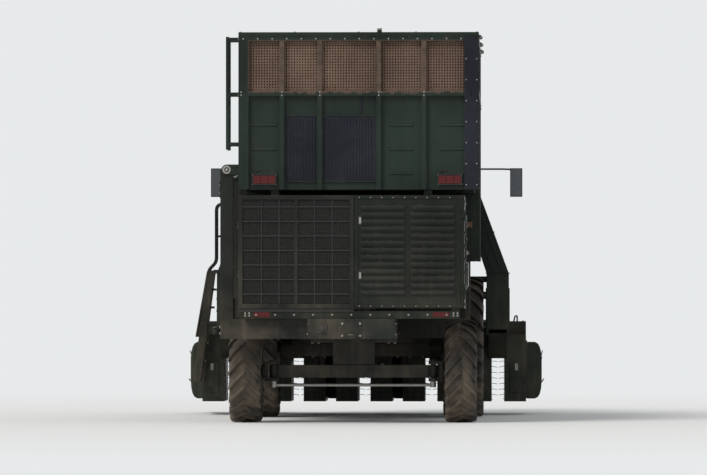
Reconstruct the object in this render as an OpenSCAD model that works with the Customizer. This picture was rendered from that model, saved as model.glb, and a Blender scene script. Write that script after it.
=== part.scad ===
// Self-propelled basket cotton harvester with five picking rows.
// +X is the machine's right, +Y is forward, +Z is up. The origin is on the ground
// under the middle of the machine. All sizes are in millimetres.

/* [Overall] */
// Distance from the origin to the tips of the stalk lifters
tip_y = 4250; // [4150:10:4350]
// Distance from the front axle to the rear axle
wheelbase = 3700; // [3690:5:3720]
// Distance of the front axle ahead of the origin
front_axle_y = 800; // [780:5:805]

/* [Wheels] */
// Radius of the front tyres out to the lugs
front_tyre_r = 920; // [880:10:930]
// Width of the front tyres
front_tyre_w = 530; // [460:10:540]
// Radius of the front rims
front_rim_r = 533; // [480:1:560]
// Distance of every wheel from the machine's centre line
wheel_x = 1350; // [1340:5:1355]
// Radius of the rear tyres out to the lugs
rear_tyre_r = 640; // [600:10:650]
// Width of the rear tyres
rear_tyre_w = 400; // [340:10:410]
// Radius of the rear rims
rear_rim_r = 310; // [280:1:340]
// Radius of the front wheel spindles
spindle_r = 70; // [60:1:80]

/* [Frame] */
// Height of the underside of the frame rails
frame_z = 1050; // [1045:1:1055]
// Height of the frame rails' section
rail_h = 250; // [220:5:260]
// Width of the frame rails' section
rail_w = 120; // [100:5:120]
// Distance of each rail from the centre line
rail_x = 480; // [475:1:485]
// Distance of each kingpin from the centre line
kingpin_x = 1000; // [995:1:1005]
// Radius of the kingpins
kingpin_r = 34; // [30:1:36]
// Radius of the hole for the drawbar pin
hitch_r = 16.5; // [14:0.5:20]

/* [Picking rows] */
// Distance between rows
row_pitch = 900; // [890:5:910]
// Width of the slot that a row of plants passes through
row_slot = 170; // [150:10:190]
// Width of each picking unit's cabinet
unit_w = 760; // [740:10:780]
// Height of each cabinet's underside above the ground
unit_z = 180; // [160:10:200]
// Height of the cabinets
unit_h = 900; // [880:10:910]
// Radius of the picking drums over their bars
drum_r = 130; // [120:5:135]

/* [Cab] */
// Width of the cab over its pillars
cab_w = 1700; // [1680:10:1710]
// Length of the cab's floor
cab_l = 1500; // [1480:10:1520]
// Height of the cab from floor to roof
cab_h = 1680; // [1640:10:1700]
// Thickness of the cab's pillars
pillar = 70; // [60:5:75]

/* [Basket] */
// Height of the deep front part's underside
basket_z = 2050; // [2045:1:2060]
// Height of the shallow rear part's underside
basket_step_z = 2900; // [2895:1:2910]
// Height of the top of the basket's walls
basket_top_z = 4800; // [4760:10:4820]
// Height of the perforated screens below the top rail
screen_h = 620; // [600:10:640]
// Depth of the basket's ribs and posts
rib = 60; // [55:1:60]
// Thickness of the basket's sheet metal
sheet = 8; // [6:1:10]

/* [Hidden] */
$fn = 48;

seat_gap = 0.3;         // between seated pieces, and round a pin in its bore
side_gap = 6;           // between pieces that move past each other
rear_axle_y = front_axle_y - wheelbase;
front_lugs = 15;        // on each half of a tyre
rear_lugs = 14;
rail_top = frame_z + rail_h;
rail_in = rail_x - rail_w / 2;
rail_out = rail_x + rail_w / 2;
frame_front_y = 1400;
frame_rear_y = -4050;
drawbar_y = -4250;
green = [0.13, 0.25, 0.17];
dark = [0.10, 0.11, 0.11];
rust = [0.36, 0.27, 0.21];
steel = [0.62, 0.63, 0.64];
rim_paint = [0.72, 0.71, 0.66];
tyre_black = [0.07, 0.07, 0.07];
glass_tint = [0.25, 0.32, 0.34, 0.5];

// Basket, with its hinge on the left
basket_left = -1400;
basket_right = 1580;
basket_front_y = 800;
basket_rear_y = -4000;
step_y = -1600;
in_left = basket_left + rib + sheet;
in_right = basket_right - rib - sheet;
in_front = basket_front_y - rib - sheet;
in_rear = basket_rear_y + rib + sheet;
in_step = step_y + rib;
floor_z = basket_z + rib;
step_floor_z = basket_step_z + rib;
rail_z = basket_top_z - rib;
screen_z = rail_z - screen_h;
hinge_x = -1550;
hinge_z = 3150;
hinge_pin_r = 30;
post_ys = [-300, -1750, -3820];
post_half = 60;
side_ribs = [140, -460, -1060, -1570, -2200, -2800, -3400];
end_ribs = [in_left + 30, -860, -390, 340, 900, in_right - 30];
lid_axis = [basket_right + 24, basket_top_z];
lid_lug_ys = [400, -1600, -3600];
lid_bar = 50;
lid_pitch = (basket_front_y - lid_bar - basket_rear_y) / 5;
lid_pane = (basket_right - basket_left - 3 * lid_bar) / 2;
lid_xs = [basket_left, basket_left + lid_bar + lid_pane, basket_right - lid_bar];

// Tilt cylinders, as [x, z], with their foot pins on the frame
tilt_foot = [-1100, 1450];
tilt_head = [-1200, 2640];
tilt_plate_y = -1770;
tilt_ys = [-1690, -1850];
tilt_barrel_r = 52;
tilt_rod_r = 28;
tilt_len = norm(tilt_head - tilt_foot);
tilt_angle = atan2(tilt_head.y - tilt_foot.y, tilt_head.x - tilt_foot.x);
eye_r = 56;
eye_half = 28;
eye_pin_r = 24;

// Header hinge and lift cylinders, as [y, z]
lift_pivot = [1350, 960];
lift_pin_r = 35;
lift_x = 600;
lift_foot = [1300, 560];
lift_head = [2050, 960];
lift_len = norm(lift_head - lift_foot);
lift_angle = atan2(lift_head.y - lift_foot.y, lift_head.x - lift_foot.x);
lift_barrel_r = 42;
unit_rear_y = 2250;
unit_front_y = 3300;
unit_top = unit_z + unit_h;
row_xs = [for (i = [-2 : 2]) i * row_pitch];
drum_places = [[row_slot / 2 + 115, 2960], [-row_slot / 2 - 115, 2560]];

// Cab, its platform, and the air ducts behind it
cab_z = 1900;
cab_rear_y = 2000;
cab_front_y = cab_rear_y + cab_l;
cab_x = cab_w / 2;
cab_sill = cab_z + 60;
cab_top = cab_sill + cab_h;
door_rear_y = cab_rear_y + 260;
door_front_y = cab_front_y - pillar - side_gap;
door_z = cab_sill + 30;
cab_hinge = [-cab_x - 14, door_front_y + side_gap / 2];
cab_hinge_zs = [2250, 3250];
walk_z = 1900;
walk_top = 1940;
duct_front_y = 1925;
duct_rear_y = 1745;
outer_shift = -200;
duct_half = 175;
duct_wall = 8;
nozzle_z = [basket_top_z - 620, basket_top_z - 320];
outer_duct_x = [1085, 1325];

// Engine bay behind the step in the basket
bay_x = 1400;
bay_z = 1430;
bay_top = 2830;
bay_front_y = -1950;
bay_rear_y = -4000;
skin = 40;
side_door_y = [-3620, -2060];
side_hinge = [-bay_x - 14, side_door_y[1] + side_gap / 2];
side_hinge_zs = [1640, 2580];
rear_hinge = [bay_x + 6, bay_rear_y - skin - 14];
rotor_r = 430;
rotor_y = -2850;
rotor_z = 2130;

// Block between two opposite corners
module block(lo, hi) translate(lo) cube(hi - lo);

// Outline in Y and Z, extruded along X from x0 to x1
module side_profile(points, x0, x1)
    translate([x0, 0, 0]) rotate([90, 0, 90]) linear_extrude(x1 - x0) polygon(points);

// Outline in X and Z, extruded along Y from y0 to y1
module end_profile(points, y0, y1)
    translate([0, y1, 0]) rotate([90, 0, 0]) linear_extrude(y1 - y0) polygon(points);

// Cylinder along X from x0 to x1, with its axis at y and z
module rod_x(r, x0, x1, y, z) translate([x0, y, z]) rotate([0, 90, 0]) cylinder(r = r, h = x1 - x0);

// Cylinder along Y from y0 to y1, with its axis at x and z
module rod_y(r, y0, y1, x, z) translate([x, y0, z]) rotate([-90, 0, 0]) cylinder(r = r, h = y1 - y0);

// Fixed half of a door hinge: pin and two lugs that reach in to the wall
module door_pin(p, z, reach_lo, reach_hi) {
    translate([p.x, p.y, z - 60]) cylinder(r = 8, h = 120);
    for (low = [z - 62, z + 32]) {
        translate([p.x, p.y, low]) cylinder(r = 14, h = 30);
        block([reach_lo.x, reach_lo.y, low], [reach_hi.x, reach_hi.y, low + 30]);
    }
}

// Moving half of a door hinge: eye between the lugs
module door_eye(p, z, reach_lo, reach_hi) difference() {
    union() {
        translate([p.x, p.y, z - 30]) cylinder(r = 14, h = 60);
        block([reach_lo.x, reach_lo.y, z - 30], [reach_hi.x, reach_hi.y, z + 30]);
    }
    translate([p.x, p.y, z - 70]) cylinder(r = 8 + seat_gap, h = 140);
}

// Grid of openings through a sheet, with no openings counted along its thickness
module grid_holes(lo, hi, count, bar) {
    pitch = [for (a = [0 : 2]) (hi[a] - lo[a] - bar) / max(count[a], 1)];
    for (i = [1 : max(count.x, 1)]) for (j = [1 : max(count.y, 1)])
        for (k = [1 : max(count.z, 1)])
            translate([for (a = [0 : 2])
                    count[a] ? lo[a] + bar + ([i, j, k][a] - 1) * pitch[a] : lo[a] - 1])
                cube([for (a = [0 : 2]) count[a] ? pitch[a] - bar : hi[a] - lo[a] + 2]);
}

// Sheet with a grid of openings
module open_sheet(lo, hi, count, bar) difference() {
    block(lo, hi);
    grid_holes(lo, hi, count, bar);
}

module both_sides() {
    children();
    mirror([1, 0, 0]) children();
}

// Rails and cross members, with the drawbar at the rear
module main_frame() color(dark) difference() {
    union() {
        both_sides()
            block([rail_in, frame_rear_y, frame_z], [rail_out, frame_front_y, rail_top]);
        for (y = [frame_rear_y, rear_axle_y - 130, post_ys[1] - post_half,
                  post_ys[0] - post_half, frame_front_y - 120])
            block([-rail_in - 1, y, frame_z], [rail_in + 1, y + 120, rail_top]);
        block([-60, drawbar_y, frame_z], [60, frame_rear_y + 1, frame_z + 50]);
    }
    translate([0, drawbar_y + 60, frame_z - 1]) cylinder(r = hitch_r, h = 60);
}

// Outriggers and posts on the left, with the basket's hinge pins at their tops
module hinge_posts() color(dark) {
    for (y = post_ys) {
        block([hinge_x - 80, y - post_half, frame_z],
              [-rail_out - seat_gap, y + post_half, rail_top]);
        block([hinge_x - 80, y - post_half, frame_z], [hinge_x + 80, y + post_half, hinge_z]);
        rod_y(65, y - post_half, y + post_half, hinge_x, hinge_z);
        rod_y(hinge_pin_r, y - 105, y + 105, hinge_x, hinge_z);
    }
    tilt_foot_plate();
}

// Plate and pin for the feet of both tilt cylinders
module tilt_foot_plate() {
    block([tilt_foot.x - 70, tilt_plate_y - 15, rail_top - 1],
          [tilt_foot.x + 70, tilt_plate_y + 15, tilt_foot.y]);
    rod_y(70, tilt_plate_y - 15, tilt_plate_y + 15, tilt_foot.x, tilt_foot.y);
    rod_y(40, tilt_plate_y - 46, tilt_plate_y + 46, tilt_foot.x, tilt_foot.y);
    rod_y(eye_pin_r, tilt_plate_y - 130, tilt_plate_y + 130, tilt_foot.x, tilt_foot.y);
}

// Outriggers on the right and the posts that the basket rests on
module basket_rests() color(dark) {
    basket_rest(post_ys[0], basket_z - seat_gap);
    basket_rest(post_ys[1], basket_step_z - seat_gap);
    both_sides() block([rail_in, 490, rail_top + seat_gap], [rail_out, 610, basket_z - seat_gap]);
}

module basket_rest(y, top) {
    block([rail_out + seat_gap, y - post_half, frame_z], [1450, y + post_half, rail_top]);
    block([1350, y - post_half, rail_top - 1], [1450, y + post_half, top]);
    for (x = [-rail_x, rail_x])
        block([x - 50, y - post_half, rail_top + seat_gap], [x + 50, y + post_half, top]);
}

// Posts and beams under the cab, with the beam that carries the air ducts
module cab_frame() color(dark) both_sides() {
    block([rail_in, frame_front_y - 120, rail_top + seat_gap],
          [rail_out, frame_front_y, cab_z - 1]);
    block([rail_in, frame_front_y - 120, cab_z - 140], [rail_out, cab_front_y - 60, cab_z]);
    block([0, duct_rear_y - 65, cab_z - 120], [1650, duct_rear_y, cab_z - 40]);
}

// Posts on the rails that carry the fans
module fan_posts() color(dark) both_sides()
    block([rail_x - 40, 1130, rail_top + seat_gap], [rail_x + 40, 1210, 1980]);

// Plates and pins that the lift arms and the lift cylinders' feet turn on
module lift_ears() color(dark) both_sides() {
    difference() {
        for (x = [lift_x - 76, lift_x + 46]) side_profile([[1240, frame_z + 160],
            [1240, lift_foot.y - 50], [1350, lift_foot.y - 50], [1410, lift_pivot.y - 60],
            [1410, frame_z + 160]], x, x + 30);
        block([rail_in, 1200, frame_z - seat_gap], [rail_out + seat_gap, 1440, rail_top]);
    }
    block([rail_out + seat_gap, 1240, frame_z + 100], [lift_x + 76, 1400, frame_z + 160]);
    rod_x(lift_pin_r, lift_x - 47, lift_x + 47, lift_pivot.x, lift_pivot.y);
    rod_x(eye_pin_r, lift_x - 47, lift_x + 47, lift_foot.x, lift_foot.y);
}

module front_axle() color(dark) both_sides() {
    block([0, front_axle_y - 130, 800], [960, front_axle_y + 130, frame_z]);
    rod_x(190, 900, 1060, front_axle_y, front_tyre_r);
    rod_x(spindle_r, 1000, wheel_x + 160, front_axle_y, front_tyre_r);
}

// Rear axle beam, with an eye for the kingpin at each end
module rear_axle() color(dark) difference() {
    union() {
        both_sides() {
            block([0, rear_axle_y - 80, 560], [kingpin_x - 60, rear_axle_y + 80, 720]);
            block([kingpin_x - 62, rear_axle_y - 45, 560], [kingpin_x, rear_axle_y + 45, 720]);
            translate([kingpin_x, rear_axle_y, 560]) cylinder(r = 60, h = 160);
        }
        block([-260, rear_axle_y - 60, 719], [260, rear_axle_y + 60, frame_z]);
        block([-rail_out, rear_axle_y - 120, 1000], [rail_out, rear_axle_y + 120, frame_z]);
    }
    both_sides() translate([kingpin_x, rear_axle_y, 559])
        cylinder(r = kingpin_r + seat_gap, h = 162);
}

module engine() color(steel) block([-460, -3620, rail_top], [460, -2120, 2450]);

// Top deck and front wall of the engine bay, with the posts at its rear corners
module bay_deck() color(green) {
    block([-bay_x, bay_rear_y, bay_top - skin], [bay_x, bay_front_y, bay_top]);
    block([-bay_x, bay_front_y - skin, rail_top], [bay_x, bay_front_y, bay_top - skin + 1]);
    both_sides() {
        block([1240, bay_rear_y, rail_top], [1340, bay_rear_y + 100, bay_top - skin + 1]);
        block([0, bay_rear_y, rail_top], [1340, bay_rear_y + 100, bay_z - 30]);
        block([900, bay_rear_y + 100, bay_top - 1],
              [1000, bay_rear_y + 200, basket_step_z - seat_gap]);
    }
}

// Left wall of the engine bay, around its door
module bay_left() color(green) {
    difference() {
        block([-bay_x, bay_rear_y, bay_z], [-bay_x + skin, bay_front_y - skin, bay_top - skin]);
        block([-bay_x - 1, side_door_y[0] - side_gap, bay_z + 70],
              [-bay_x + skin + 1, side_door_y[1] + side_gap, bay_top - 110]);
    }
    for (z = side_hinge_zs) door_pin(side_hinge, z, side_hinge, [1 - bay_x, side_hinge.y + 27]);
}

// Right wall of the engine bay, around its round screen
module bay_right() color(green) {
    difference() {
        block([bay_x - skin, bay_rear_y, bay_z], [bay_x, bay_front_y - skin, bay_top - skin]);
        rod_x(rotor_r + side_gap, bay_x - skin - 1, bay_x + 1, rotor_y, rotor_z);
    }
    block([bay_x - 100, rotor_y - rotor_r - 60, rotor_z - 30],
          [bay_x - 70, rotor_y + rotor_r + 60, rotor_z + 30]);
    for (y = [rotor_y - rotor_r - 60, rotor_y + rotor_r + 10])
        block([bay_x - 100, y, rotor_z - 30], [bay_x - skin + 1, y + 50, rotor_z + 30]);
    rod_x(20, bay_x - 71, bay_x - 14, rotor_y, rotor_z);
    for (z = side_hinge_zs)
        door_pin(rear_hinge, z, [bay_x - 1, rear_hinge.y], [bay_x + 20, bay_rear_y + 20]);
}

// Radiator across the left half of the bay's rear
module radiator() color(dark)
    block([-bay_x, bay_rear_y - skin, bay_z], [34, bay_rear_y, bay_top]);

// Fuel tank on the right and water tank on the left
module tanks() color(green) for (x = [-1300, rail_out])
    block([x, -1500, 1080], [x + 760, post_ys[0] - post_half, 1900]);

module cab_floor() color(dark)
    block([-cab_x, cab_rear_y, cab_z], [cab_x, cab_front_y, cab_sill]);

module cab_shell() color(green) {
    cab_walls();
    for (z = cab_hinge_zs) door_pin(cab_hinge, z, cab_hinge, [1 - cab_x, cab_hinge.y + 27]);
}

// Cab pillars, lower walls and top rails, open where glass and door go
module cab_walls() difference() {
    block([-cab_x, cab_rear_y, cab_sill], [cab_x, cab_front_y, cab_top]);
    block([-cab_x + pillar, cab_rear_y + pillar, cab_sill - 1],
          [cab_x - pillar, cab_front_y - pillar, cab_top + 1]);
    block([-cab_x - 1, door_rear_y - side_gap, cab_sill - 1],
          [-cab_x + pillar + 1, cab_front_y - pillar, cab_top - 80]);
    block([cab_x - pillar - 1, cab_rear_y + pillar, cab_sill + 500],
          [cab_x + 1, cab_front_y - pillar, cab_top - 80]);
    block([-cab_x + pillar, cab_front_y - pillar - 1, cab_sill + 250],
          [cab_x - pillar, cab_front_y + 1, cab_top - 80]);
    block([-cab_x + pillar, cab_rear_y - 1, cab_sill + 700],
          [cab_x - pillar, cab_rear_y + pillar + 1, cab_top - 80]);
}

module cab_roof() color(green)
    block([-cab_x - 60, cab_rear_y - 60, cab_top], [cab_x + 60, cab_front_y + 160, cab_top + 150]);

// Windscreen, right window and rear window, each pane set in its frame
module cab_glass() color(glass_tint) {
    block([-cab_x + pillar, cab_front_y - 40, cab_sill + 250],
          [cab_x - pillar, cab_front_y - 32, cab_top - 80]);
    block([cab_x - 40, cab_rear_y + pillar, cab_sill + 500],
          [cab_x - 32, cab_front_y - pillar, cab_top - 80]);
    block([-cab_x + pillar, cab_rear_y + 32, cab_sill + 700],
          [cab_x - pillar, cab_rear_y + 40, cab_top - 80]);
}

// Seat on its base, side console, and steering column with its wheel
module cab_seat() color(dark) {
    block([-200, 2400, cab_sill], [200, 2730, cab_sill + 300]);
    block([-270, 2360, cab_sill + 299], [270, 2860, cab_sill + 420]);
    block([-250, 2280, cab_sill + 299], [250, 2380, cab_sill + 1050]);
    block([330, 2300, cab_sill], [560, 3000, cab_sill + 560]);
    block([-70, 3180, cab_sill], [70, 3320, cab_sill + 60]);
    translate([0, 3250, cab_sill + 20]) rotate([18, 0, 0]) {
        cylinder(r = 45, h = 760);
        translate([0, 0, 740]) rotate_extrude() translate([190, 0]) circle(r = 16);
        for (a = [0 : 120 : 240]) rotate([0, 0, a]) translate([30, -12, 734]) cube([155, 24, 12]);
    }
}

module mirrors() color(dark) both_sides() {
    rod_x(14, cab_x - 20, 2060, cab_front_y + 60, cab_top - 300);
    block([cab_x - 60, cab_front_y, cab_top - 330],
          [cab_x - 10, cab_front_y + 74, cab_top - 270]);
    block([1960, cab_front_y + 30, 2950], [2140, cab_front_y + 90, cab_top - 280]);
}

// Platform and ladder on the left of the cab, with handrails
module walkway() color(dark) {
    block([-2000, 1760, walk_z], [-1100, 2160, walk_top]);
    block([-1500, 2159, walk_z], [-cab_x - 2, cab_front_y - 100, walk_top]);
    for (y = [1935, 3240]) {
        block([-1480, y, walk_z - 60], [-cab_x - 2, y + 60, walk_z + 1]);
        block([-cab_x - 3, y, walk_z - 60], [-rail_out, y + 60, walk_z - seat_gap]);
    }
    for (y = [1775, 2115])
        end_profile([[-2280, 450], [-2180, 450], [-1990, walk_top], [-2090, walk_top]], y, y + 25);
    for (i = [0 : 5]) block([-2270 + i * 31, 1776, 470 + i * 240], [-2130 + i * 31, 2139, 500 + i * 240]);
    for (y = [1775, 2115]) {
        block([-1990, y, walk_top - 1], [-1960, y + 30, 2850]);
        block([-1530, y, walk_top - 1], [-1500, y + 30, 2850]);
        block([-1990, y, 2820], [-1500, y + 30, 2850]);
    }
}

module air_ducts() color(green) {
    for (i = [-1 : 1]) translate([i * row_pitch, 0, 0]) inner_duct();
    both_sides() outer_duct();
}

// Duct of an inner row: open scoop below, closed duct above, nozzle at the top
module inner_duct() difference() {
    side_profile([[duct_rear_y, 1150], [duct_front_y, 1150], [duct_front_y, 2000],
        [1020, nozzle_z[1]], [812, nozzle_z[1]], [812, nozzle_z[0]], [duct_rear_y, 2000]],
        -duct_half, duct_half);
    side_profile([[duct_rear_y + duct_wall, 1149], [duct_front_y + 1, 1149],
        [duct_front_y + 1, 1700], [duct_front_y - duct_wall, 1701],
        [duct_front_y - duct_wall, 1996], [1010, nozzle_z[1] - duct_wall],
        [811, nozzle_z[1] - duct_wall], [811, nozzle_z[0] + duct_wall],
        [duct_rear_y + duct_wall, 2004]], -duct_half + duct_wall, duct_half - duct_wall);
}

// Duct of an outer row: it passes outside the tyre, then leans inwards and back
module outer_duct() translate([0, outer_shift, 0]) {
    difference() {
        end_profile([[1650, 1150], [1950, 1150], [1950, 1900], [outer_duct_x[1], 3600],
            [outer_duct_x[0], 3600], [1650, 1900]], duct_rear_y, duct_front_y);
        end_profile([[1658, 1149], [1942, 1149], [1942, 1898], [outer_duct_x[1] - 9, 3601],
            [outer_duct_x[0] + 8, 3601], [1658, 1902]], duct_rear_y + duct_wall,
            duct_front_y - duct_wall);
        block([1658, duct_front_y - duct_wall - 1, 1149], [1942, duct_front_y + 1, 1700]);
    }
    difference() {
        side_profile([[duct_rear_y, 3600], [duct_front_y, 3600], [1220, nozzle_z[1]],
            [1012, nozzle_z[1]], [1012, nozzle_z[0]]], outer_duct_x[0], outer_duct_x[1]);
        side_profile([[duct_rear_y + duct_wall, 3599], [duct_front_y - duct_wall, 3599],
            [1212, nozzle_z[1] - duct_wall], [1011, nozzle_z[1] - duct_wall],
            [1011, nozzle_z[0] + duct_wall]], outer_duct_x[0] + duct_wall,
            outer_duct_x[1] - duct_wall);
    }
}

// Pair of fan housings on posts behind the cab
module fans() color(green) both_sides() {
    difference() {
        union() {
            rod_x(340, 250, 620, 1170, 2330);
            block([280, 1340, 1935], [590, 1510, 2330]);
            rod_x(225, 600, 650, 1170, 2330);
        }
        rod_x(205, 560, 651, 1170, 2330);
    }
    block([380, 1100, 1980], [600, 1240, 2080]);
    rod_x(60, 200, 600, 1170, 2330);
}

// Silencer ahead of the engine bay, with its pipe out to the right
module exhaust() color(steel) {
    rod_x(90, 560, 1300, -1790, 2500);
    rod_x(38, 1299, 1480, -1860, 2500);
    block([700, bay_front_y, 2470], [760, -1850, 2530]);
}

// Work lamps and beacon on the cab's roof
module lamps() color(steel) {
    for (x = [-700, -350, 350, 700])
        block([x - 70, cab_front_y + 160, cab_top + 30], [x + 70, cab_front_y + 220, cab_top + 130]);
    translate([0, cab_rear_y + 200, cab_top + 150]) cylinder(r = 60, h = 150);
}

// Lift arms and the toolbar that the picking units hang from
module header_frame() color(dark) difference() {
    union() {
        block([-2180, 2600, unit_top], [2180, 2780, unit_top + 180]);
        both_sides() {
            side_profile([[1290, 920], [1290, 1000], [1330, 1022], [2600, 1260], [2601, 1170],
                [2200, 1090], [1960, 1040], [1400, 905], [1330, 900]], lift_x - 40, lift_x + 40);
            for (x = [lift_x - 42, lift_x + 28]) block([x, lift_head.x - 50, lift_head.y - 50],
                [x + 14, lift_head.x + 50, 1080]);
        }
    }
    both_sides() rod_x(lift_pin_r + seat_gap, lift_x - 50, lift_x + 50, lift_pivot.x, lift_pivot.y);
}

// Five cabinets, each open below for its row of plants and around its drums
module picking_units() color(green) for (x = row_xs) translate([x, 0, 0]) {
    difference() {
        block([-unit_w / 2, unit_rear_y, unit_z], [unit_w / 2, unit_front_y, unit_top]);
        block([-row_slot / 2, unit_rear_y - 1, unit_z - 1],
              [row_slot / 2, unit_front_y + 1, unit_top - 100]);
        for (p = drum_places) translate([p.x, p.y, unit_z - 1])
            cylinder(r = drum_r + 10, h = unit_h - 199);
    }
    // Gear housings as [x, y, radius]
    for (p = [[200, 2960, 105], [-170, 2470, 85]])
        translate([p[0], p[1], unit_top - 1]) cylinder(r = p[2], h = 81);
}

// Pair of upright drums in each cabinet, one behind the other across the slot
module picking_drums() color(steel) for (x = row_xs) for (p = drum_places)
    translate([x + p.x, p.y, unit_z + 20]) {
        cylinder(r = drum_r, h = unit_h - 260);
        cylinder(r = 30, h = unit_h - 220);
    }

// Pointed dividers between and outside the rows
module stalk_lifters() color(green) for (i = [0 : 5]) translate([(i - 2.5) * row_pitch, 0, 0])
    hull() {
        block([-150, unit_front_y, 300], [150, unit_front_y + 10, 900]);
        block([-110, unit_front_y, 200], [110, unit_front_y + 10, 980]);
        translate([0, tip_y - 30, 230]) sphere(r = 30, $fn = 12);
    }

// Boots that lead from the cabinets into the scoops of the ducts
module unit_boots() color(green) for (i = [-2 : 2]) translate([row_xs[i + 2], 0, 0])
    boot(abs(i) == 2 ? outer_shift : 0, abs(i) == 2 ? 125 : 145);

module boot(back, half) difference() {
    side_profile([[unit_rear_y, 760], [unit_rear_y, 1070], [1910 + back, 1360],
        [1830 + back, 1100]], -half, half);
    side_profile([[unit_rear_y + 1, 768], [unit_rear_y + 1, 1060], [1906 + back, 1352],
        [1826 + back, 1104], [1836 + back, 1104]], -half + duct_wall, half - duct_wall);
}

module tilt_barrels() color(green) for (y = tilt_ys)
    translate([tilt_foot.x, y, tilt_foot.y]) rotate([0, -tilt_angle, 0]) difference() {
        union() {
            rod_y(eye_r, -eye_half, eye_half, 0, 0);
            rod_x(tilt_barrel_r, 48, tilt_len - 130, 0, 0);
        }
        rod_y(eye_pin_r + seat_gap, -100, 100, 0, 0);
        rod_x(tilt_barrel_r - 12, 88, tilt_len, 0, 0);
    }

module tilt_rods() color(steel) for (y = tilt_ys)
    translate([tilt_foot.x, y, tilt_foot.y]) rotate([0, -tilt_angle, 0]) {
        rod_y(eye_r, -eye_half, eye_half, tilt_len, 0);
        rod_x(tilt_rod_r, 110, tilt_len - 20, 0, 0);
        rod_x(tilt_barrel_r - 12.3, 92, 132, 0, 0);
    }

module lift_barrels() color(green) both_sides() translate([lift_x, lift_foot.x, lift_foot.y])
    rotate([lift_angle, 0, 0]) difference() {
        union() {
            rod_x(50, -40, 40, 0, 0);
            rod_y(lift_barrel_r, 30, lift_len - 200, 0, 0);
        }
        rod_x(eye_pin_r + seat_gap, -50, 50, 0, 0);
        rod_y(lift_barrel_r - 12, 70, lift_len, 0, 0);
    }

module lift_rods() color(steel) both_sides() translate([lift_x, lift_foot.x, lift_foot.y])
    rotate([lift_angle, 0, 0]) {
        rod_x(34, -22, 22, lift_len, 0);
        rod_y(20, 300, lift_len - 10, 0, 0);
        rod_y(lift_barrel_r - 12.3, 280, 320, 0, 0);
    }

// Tyre around X: a ring of straight sections, with slanting lugs out to its full radius
module tyre(r, w, rim, lugs, depth) rotate([0, 90, 0]) {
    n = 32;
    base = r - depth;
    half = [[(rim + seat_gap) / cos(180 / n), w / 2 - 20], [rim + 60, w / 2],
            [base - 70, w / 2 - 4], [base, w / 2 - 70]];
    outline = concat(half, [for (i = [3 : -1 : 0]) [half[i].x, -half[i].y]]);
    m = len(outline);
    polyhedron([for (i = [0 : n - 1]) for (p = outline)
            [p.x * cos(i * 360 / n), p.x * sin(i * 360 / n), p.y]],
        [for (i = [0 : n - 1]) for (j = [0 : m - 1]) let (next = (i + 1) % n, k = (j + 1) % m)
            [i * m + j, next * m + j, next * m + k, i * m + k]]);
    long = 0.52 * w;
    wide = 1.1 * depth;
    reach = sin(40) * long / 2 + cos(40) * wide / 2;
    top = sqrt(r * r - reach * reach);
    for (i = [0 : lugs - 1]) for (hand = [-1, 1])
        rotate([0, 0, asin(reach / r) + (i + (hand > 0 ? 0.5 : 0)) * 360 / lugs])
            translate([base - 25, 0, hand * w / 4]) rotate([hand * 40, 0, 0])
                translate([0, -wide / 2, -long / 2]) cube([top - base + 25, wide, long]);
}

// Rim around X: barrel, dished disc and hub, with the bore for its spindle
module rim(r, w, hub_r, hub_in, hub_out, bore) rotate([0, 90, 0])
    rotate_extrude($fn = 72) polygon([[bore, hub_in], [hub_r, hub_in], [hub_r, 0],
        [r - 40, 40], [r - 40, 14 - w / 2], [r + 14, 14 - w / 2], [r, 20 - w / 2],
        [r, w / 2 - 20], [r + 14, w / 2 - 14], [r - 40, w / 2 - 14], [r - 40, 70],
        [hub_r, 30], [hub_r, hub_out], [bore, hub_out]]);

module front_tyre_right() color(tyre_black) translate([wheel_x, front_axle_y, front_tyre_r])
    tyre(front_tyre_r, front_tyre_w, front_rim_r, front_lugs, 46);
module front_tyre_left() color(tyre_black) mirror([1, 0, 0])
    translate([wheel_x, front_axle_y, front_tyre_r]) tyre(front_tyre_r, front_tyre_w, front_rim_r, front_lugs, 46);
module front_rim_right() color(rim_paint) translate([wheel_x, front_axle_y, front_tyre_r])
    rim(front_rim_r, front_tyre_w, 170, -180, 150, spindle_r + seat_gap);
module front_rim_left() color(rim_paint) mirror([1, 0, 0])
    translate([wheel_x, front_axle_y, front_tyre_r])
        rim(front_rim_r, front_tyre_w, 170, -180, 150, spindle_r + seat_gap);
module rear_tyre_right() color(tyre_black) translate([wheel_x, rear_axle_y, rear_tyre_r])
    tyre(rear_tyre_r, rear_tyre_w, rear_rim_r, rear_lugs, 36);
module rear_tyre_left() color(tyre_black) mirror([1, 0, 0])
    translate([wheel_x, rear_axle_y, rear_tyre_r]) tyre(rear_tyre_r, rear_tyre_w, rear_rim_r, rear_lugs, 36);
module rear_rim_right() color(rim_paint) translate([wheel_x, rear_axle_y, rear_tyre_r])
    rim(rear_rim_r, rear_tyre_w, 100, -150, 120, 45 + seat_gap);
module rear_rim_left() color(rim_paint) mirror([1, 0, 0])
    translate([wheel_x, rear_axle_y, rear_tyre_r])
        rim(rear_rim_r, rear_tyre_w, 100, -150, 120, 45 + seat_gap);

// Knuckle: kingpin between two plates, stub axle, and steering arm to the rear
module knuckle() translate([kingpin_x, rear_axle_y, 0]) {
    translate([0, 0, 520]) cylinder(r = kingpin_r, h = 240);
    for (z = [514, 726]) {
        translate([0, 0, z]) cylinder(r = 60, h = 40);
        block([0, -60, z], [120, 60, z + 40]);
    }
    block([80, -60, 514], [120, 60, 766]);
    rod_x(45, 119, 460, 0, rear_tyre_r);
    block([-30, -220, 514], [30, 1, 554]);
}

module knuckle_right() color(dark) knuckle();
module knuckle_left() color(dark) mirror([1, 0, 0]) knuckle();

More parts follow.
